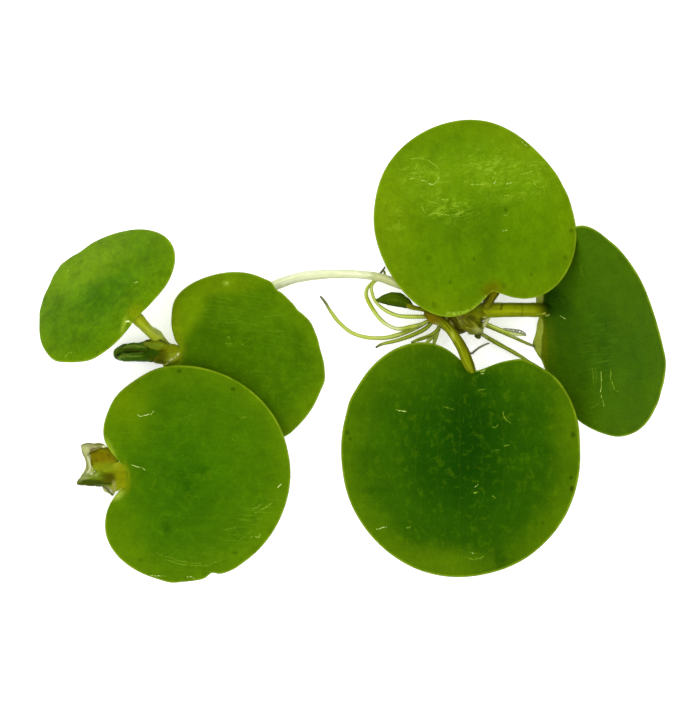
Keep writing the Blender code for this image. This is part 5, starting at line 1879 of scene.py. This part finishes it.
def pod_shape(middle, turns, half_length, profile):
    """A body along its own X; profile gives its middle line and half sizes at each place."""
    turn = Euler([math.radians(value) for value in turns], "XYZ").to_matrix()
    centre = Vector(middle) - MIDDLE

    def shape(point):
        along = point.z
        wide = math.hypot(point.x, point.y)
        angle = math.atan2(point.y, point.x)
        lift, sway, half_width, half_height, pinch, share = profile(along, angle)
        size = wide * (1.0 - pinch)
        across = half_width * size * math.cos(angle) + sway
        upward = half_height * size * math.sin(angle) + lift
        place = centre + turn @ Vector((half_length * along, across, upward))
        place.z = max(place.z, 0.02)
        return place, Vector((half_length * along, across, upward)), share

    return shape


def crown_profile(half_width, half_height, seed):
    """A lumpy crown made of overlapping stalk bases."""

    def profile(along, angle):
        lump = 0.10 * math.cos(3.0 * angle + 2.0 * along) + 0.06 * math.cos(5.0 * along + angle)
        spot = Vector((along * 1.6, math.cos(angle) * 1.3, math.sin(angle) * 1.3 + seed))
        lump += 0.16 * noise.noise(spot * 1.7) + 0.07 * noise.noise(spot * 4.0)
        return 0.0, 0.0, half_width, half_height, lump, 0.5 + 0.5 * along

    return profile


def make_leaf(scene, name, seed, prefix, streak_turn, mottle=1.0, shine=0.06):
    """Mould, paint and hang one round leaf."""
    blades = scene.frogbit_blades
    body = getattr(blades, prefix + "_body")
    heart = getattr(blades, prefix + "_heart")
    edge = getattr(blades, prefix + "_edge")
    finish = blade_finish(name, body, heart, edge, blades, seed, streak_turn, mottle, shine)
    shape = blade_shape(LEAF_BLADES[name], blades, seed)
    piece = moulded("blade_" + name[5:], blades.segments, blades.rings, shape, finish)
    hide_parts(name)


def make_stem(scene, name, course, finish, rings=60):
    """Mould one stalk, stolon or root in place of its solid."""
    points, radii = course
    shape = stem_shape([Vector(point) for point in points], radii, rings)
    piece = moulded("grown_" + name, scene.frogbit_stems.sides, rings, shape, finish)
    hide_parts(name)


def make_lobe(name, finish, solid=False, sides=48, rings=48):
    """Mould one sheath, scale or folded leaf; a solid one stands in place of its CAD piece."""
    points, widths, heights = LOBES[name]
    points = [Vector(point) for point in points]
    shape = lobe_shape(points, widths, heights, rings, FOLDS.get(name, ()))
    piece = moulded("grown_" + name, sides, rings, shape, finish)
    if solid:
        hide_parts(name)


def add_comb(name, hairs, finish):
    """Stiff tapered hairs, each from one place to another."""
    fringe = bmesh.new()
    fringe.verts.layers.float_vector.new("lay")
    fringe.verts.layers.float.new("run")
    for start, end, thick, thin in hairs:
        start = Vector(start) - MIDDLE
        end = Vector(end) - MIDDLE
        lean = end - start
        turn = lean.to_track_quat("Z", "Y").to_matrix().to_4x4()
        turn.translation = (start + end) / 2.0
        bmesh.ops.create_cone(
            fringe,
            cap_ends=True,
            segments=8,
            radius1=thick,
            radius2=thin,
            depth=lean.length,
            matrix=turn,
        )
    bmesh.ops.scale(fringe, vec=(MM, MM, MM), verts=fringe.verts)
    for face in fringe.faces:
        face.smooth = True
    piece = finished(name, fringe, finish)


class FROGBIT_OT_mother_leaves(bpy.types.Operator):
    """Mould the mother plant's three round leaves"""

    bl_idname = "frogbit.mother_leaves"
    bl_label = "Mother leaves"

    def execute(self, context):
        make_leaf(context.scene, "leaf_top", 1.0, "top", 76.0, 1.1)
        make_leaf(context.scene, "leaf_bottom", 2.0, "bottom", 0.0, 0.9)
        make_leaf(context.scene, "leaf_right", 3.0, "right", 80.0)
        return {"FINISHED"}


class FROGBIT_OT_daughter_leaves(bpy.types.Operator):
    """Mould the daughter plant's three round leaves"""

    bl_idname = "frogbit.daughter_leaves"
    bl_label = "Daughter leaves"

    def execute(self, context):
        make_leaf(context.scene, "leaf_left_upper", 4.0, "upper", 20.0, 1.9, 0.02)
        make_leaf(context.scene, "leaf_left_middle", 5.0, "middle", 8.0, 1.2)
        make_leaf(context.scene, "leaf_left_lower", 6.0, "lower", 12.0)
        return {"FINISHED"}


class FROGBIT_OT_young_leaves(bpy.types.Operator):
    """Mould the folded young leaf and the leaf that is still rolled, with its sheath"""

    bl_idname = "frogbit.young_leaves"
    bl_label = "Young leaves"

    def execute(self, context):
        crown = context.scene.frogbit_crown
        finish = fold_finish("young_leaf", crown.young, crown.young_brown_and_shade, crown.young_crease_and_highlight, 5.0)
        make_lobe("leaf_young", finish, True, 56, 56)
        marks = CROWN_MARKS["daughter"]
        colours = (crown.rolled, crown.rolled_groove_shade, crown.rolled_highlight)
        finish = fold_finish("rolled_leaf", *colours, 4.0, marks)
        make_lobe("leaf_rolled", finish, True, 72, 72)
        make_lobe("rolled_edge", finish)
        colours = (crown.sheath, crown.rolled, crown.rolled_highlight)
        finish = fold_finish("rolled_sheath", *colours, 4.0, marks)
        for name in ("rolled_sheath", "rolled_base"):
            make_lobe(name, finish)
        return {"FINISHED"}


class FROGBIT_OT_stalks(bpy.types.Operator):
    """Grow the leaf stalks"""

    bl_idname = "frogbit.stalks"
    bl_label = "Stalks"

    def execute(self, context):
        scene = context.scene
        stems = scene.frogbit_stems
        marks = CROWN_MARKS["stalks"]
        base = (stems.stalk_brown, 0.0, 0.3)
        colours = (stems.stalk, stems.stalk_dark, stems.stalk_pale)
        fresh = fibre_finish("stalk", *colours, 2.0, marks=marks)
        colours = (stems.stalk_brown, stems.stalk_shade, stems.stalk_dark)
        brown = fibre_finish("stalk_brown", *colours, 2.0, marks=marks)
        colours = (stems.stalk_deep, stems.stalk_shade, stems.stalk_pale)
        based = fibre_finish("stalk_based", *colours, 2.0, base, marks=marks)
        make_stem(scene, "stalk_top", STEMS["stalk_top"], brown)
        make_stem(scene, "stalk_right", STEMS["stalk_right"], fresh, 90)
        make_stem(scene, "stalk_bottom", STEMS["stalk_bottom"], based, 90)
        make_stem(scene, "stalk_young", STEMS["stalk_young"], based)
        colours = (stems.stalk_fresh, stems.stalk, stems.stalk_light)
        finish = fibre_finish("stalk_fresh", *colours, 2.0, tip=(stems.stalk, 0.7))
        make_stem(scene, "stalk_left_upper", STEMS["stalk_left_upper"], finish, 90)
        return {"FINISHED"}


class FROGBIT_OT_stolons(bpy.types.Operator):
    """Grow the stolons that join the plants"""

    bl_idname = "frogbit.stolons"
    bl_label = "Stolons"

    def execute(self, context):
        scene = context.scene
        stems = scene.frogbit_stems
        colours = (stems.stolon, stems.stolon_line, stems.stolon_light)
        start = (stems.stolon_start, 0.2, 0.32)
        finish = fibre_finish("stolon", *colours, 2.8, start, side_shade=0.3, shine=0.12)
        make_stem(scene, "stolon_long", STEMS["stolon_long"], finish, 150)
        make_stem(scene, "stolon_short", STEMS["stolon_short"], finish, 70)
        return {"FINISHED"}


class FROGBIT_OT_roots(bpy.types.Operator):
    """Grow the roots, and the hairs on the bristly one"""

    bl_idname = "frogbit.roots"
    bl_label = "Roots"

    def execute(self, context):
        scene = context.scene
        stems = scene.frogbit_stems
        marks = CROWN_MARKS["roots"]
        tip = (stems.root_tip, 0.86)
        base = (stems.stalk_dark, 0.0, 0.14)
        colours = (stems.root, stems.root_core, stems.root_light)
        fresh = fibre_finish("root", *colours, 1.6, base, tip, marks, shine=0.1)
        colours = (stems.root_olive, stems.stalk_dark, stems.root)
        older = fibre_finish("root_olive", *colours, 1.6, base, tip, marks, shine=0.1)
        thread = fibre_finish("root_thread", stems.hair, stems.root_tip, stems.root_light, 2.0)
        finishes = {"root_thread": thread}
        for name in ("root_low", "root_short", "root_right_lower", "root_right_upper"):
            finishes[name] = older
        for name, course in ROOTS.items():
            make_stem(scene, name, course, finishes.get(name, fresh), 110)
        hair = fibre_finish("root_hair", stems.hair, stems.hair, stems.root_olive, 1.0)
        add_comb("root_comb", COMB, hair)
        return {"FINISHED"}


class FROGBIT_OT_crowns(bpy.types.Operator):
    """Mould the crowns that the stalks and roots grow from"""

    bl_idname = "frogbit.crowns"
    bl_label = "Crowns"

    def execute(self, context):
        colours = context.scene.frogbit_crown
        finish = crown_finish(colours)
        for name, (middle, half, width, height, heading) in CROWNS.items():
            profile = crown_profile(width, height, middle[0])
            shape = pod_shape(middle, (0.0, 0.0, heading), half, profile)
            piece = moulded("grown_" + name, 56, 44, shape, finish)
            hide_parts(name)
        shades = (colours.cup, colours.dark, colours.band)
        cup = fold_finish("offset_cup", *shades, 3.0, CROWN_MARKS["offset"])
        make_lobe("crown_offset", cup, True, 64, 64)
        return {"FINISHED"}


class FROGBIT_OT_sheaths(bpy.types.Operator):
    """Mould the sheaths that wrap the stalk bases"""

    bl_idname = "frogbit.sheaths"
    bl_label = "Sheaths"

    def execute(self, context):
        colours = context.scene.frogbit_crown
        mother = CROWN_MARKS["mother"]
        shades = (colours.sheath, colours.sheath_fold_shade, colours.sheath_highlight)
        olive = fold_finish("sheath", *shades, 3.0, mother)
        for name in ("front_sheath", "base_sheath", "middle_fold"):
            make_lobe(name, olive, sides=64, rings=64)
        shades = (colours.brown, colours.dark, colours.bright)
        brown = fold_finish("sheath_brown", *shades, 3.0, mother)
        for name in ("junction", "dark_fold", "knob"):
            make_lobe(name, brown, sides=64, rings=64)
        shades = (colours.band, colours.sheath, colours.sheath_highlight)
        joint = fold_finish("daughter_joint", *shades, 2.4, CROWN_MARKS["daughter"])
        make_lobe("daughter_joint", joint, sides=64, rings=64)
        make_lobe("joint_lip", joint)
        band = fold_finish("offset_band", *shades, 2.4, CROWN_MARKS["offset"])
        make_lobe("stalk_left_lower", band, True, 64, 64)
        return {"FINISHED"}


class FROGBIT_OT_scales(bpy.types.Operator):
    """Mould the papery scales at the crowns"""

    bl_idname = "frogbit.scales"
    bl_label = "Scales"

    def execute(self, context):
        colours = context.scene.frogbit_crown
        shades = (colours.scale, colours.scale_vein, colours.scale_light)
        paper = fold_finish("scale", *shades, 6.0)
        make_lobe("scale_mother", paper, True)
        make_lobe("pale_scale", paper)
        offset = CROWN_MARKS["offset"]
        paper = fold_finish("offset_scale", *shades, 6.0, offset)
        make_lobe("scale_offset_upper", paper, True, 56, 56)
        for name in ("scale_side", "offset_scale_low"):
            make_lobe(name, paper)
        shades = (colours.lobe, colours.lobe_shade, colours.lobe_highlight)
        lobe = fold_finish("offset_lobe", *shades, 3.0, offset)
        make_lobe("scale_offset_lower", lobe, True, 60, 60)
        return {"FINISHED"}


class FROGBIT_OT_stage(bpy.types.Operator):
    """Set the table, the light and the camera that looks straight down"""

    bl_idname = "frogbit.stage"
    bl_label = "Stage"

    def execute(self, context):
        scene = context.scene
        stage = scene.frogbit_stage
        table = bmesh.new()
        bmesh.ops.create_grid(table, x_segments=4, y_segments=4, size=1.5)
        mesh = bpy.data.meshes.new("table")
        table.to_mesh(mesh)
        table.free()
        mesh.materials.append(floor_finish(stage.floor, stage.glow))
        top = bpy.data.objects.new("table", mesh)
        scene.collection.objects.link(top)
        make_light(scene, stage)
        lens = bpy.data.cameras.new("camera")
        lens.lens = stage.lens
        lens.sensor_width = 36.0
        lens.clip_start = 0.01
        lens.clip_end = 10.0
        camera = bpy.data.objects.new("camera", lens)
        camera.location = (0.00055, -0.0003, stage.camera_height)
        scene.collection.objects.link(camera)
        scene.camera = camera
        scene.view_settings.view_transform = "Standard"
        return {"FINISHED"}


def make_light(scene, stage):
    """A bright wall all round under a dim ceiling, and one soft light from the upper left."""
    world = bpy.data.worlds.new("studio")
    world.use_nodes = True
    scene.world = world
    tree = world.node_tree
    backdrop = tree.nodes["Background"]
    backdrop.inputs["Color"].default_value = (1.0, 1.0, 1.0, 1.0)
    facing = tree.nodes.new("ShaderNodeTexCoord")
    split = tree.nodes.new("ShaderNodeSeparateXYZ")
    fall = tree.nodes.new("ShaderNodeMapRange")
    fall.interpolation_type = "SMOOTHSTEP"
    fall.inputs["From Min"].default_value = 0.5
    fall.inputs["From Max"].default_value = 0.85
    fall.inputs["To Min"].default_value = stage.ring_light
    fall.inputs["To Max"].default_value = stage.ceiling
    tree.links.new(facing.outputs["Generated"], split.inputs[0])
    tree.links.new(split.outputs["Z"], fall.inputs["Value"])
    tree.links.new(fall.outputs[0], backdrop.inputs["Strength"])
    glow = bpy.data.lights.new("side_light", "AREA")
    glow.shape = "DISK"
    glow.size = 0.25
    glow.energy = stage.side_light
    lamp = bpy.data.objects.new("side_light", glow)
    lamp.location = (-0.35, 0.3, 0.4)
    lamp.rotation_euler = lamp.location.to_track_quat("Z", "Y").to_euler()
    scene.collection.objects.link(lamp)


class FROGBIT_PT_panel(bpy.types.Panel):
    """The plant's pieces and the stage, in the order they are made"""

    bl_label = "Amazon frogbit"
    bl_idname = "FROGBIT_PT_panel"
    bl_space_type = "VIEW_3D"
    bl_region_type = "UI"
    bl_category = "Frogbit"

    def draw(self, context):
        for step in STEPS:
            self.layout.operator(step.bl_idname)
        for group in ("frogbit_blades", "frogbit_stems", "frogbit_crown", "frogbit_stage"):
            box = self.layout.box()
            settings = getattr(context.scene, group)
            for key in settings.bl_rna.properties.keys():
                if key not in ("rna_type", "name"):
                    box.prop(settings, key)


GROUPS = {
    "frogbit_blades": FROGBIT_PG_blades,
    "frogbit_stems": FROGBIT_PG_stems,
    "frogbit_crown": FROGBIT_PG_crown,
    "frogbit_stage": FROGBIT_PG_stage,
}

STEPS = (
    FROGBIT_OT_mother_leaves,
    FROGBIT_OT_daughter_leaves,
    FROGBIT_OT_young_leaves,
    FROGBIT_OT_stalks,
    FROGBIT_OT_stolons,
    FROGBIT_OT_roots,
    FROGBIT_OT_crowns,
    FROGBIT_OT_sheaths,
    FROGBIT_OT_scales,
    FROGBIT_OT_stage,
)


def register():
    """Add the settings, the operators and the panel to Blender."""
    for name, group in GROUPS.items():
        bpy.utils.register_class(group)
        setattr(bpy.types.Scene, name, PointerProperty(type=group))
    for step in STEPS:
        bpy.utils.register_class(step)
    bpy.utils.register_class(FROGBIT_PT_panel)


def unregister():
    """Take them out again."""
    bpy.utils.unregister_class(FROGBIT_PT_panel)
    for step in reversed(STEPS):
        bpy.utils.unregister_class(step)
    for name, group in GROUPS.items():
        delattr(bpy.types.Scene, name)
        bpy.utils.unregister_class(group)


def main():
    """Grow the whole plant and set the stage."""
    register()
    bpy.ops.frogbit.mother_leaves()
    bpy.ops.frogbit.daughter_leaves()
    bpy.ops.frogbit.young_leaves()
    bpy.ops.frogbit.stalks()
    bpy.ops.frogbit.stolons()
    bpy.ops.frogbit.roots()
    bpy.ops.frogbit.crowns()
    bpy.ops.frogbit.sheaths()
    bpy.ops.frogbit.scales()
    bpy.ops.frogbit.stage()


if __name__ == "__main__":
    main()
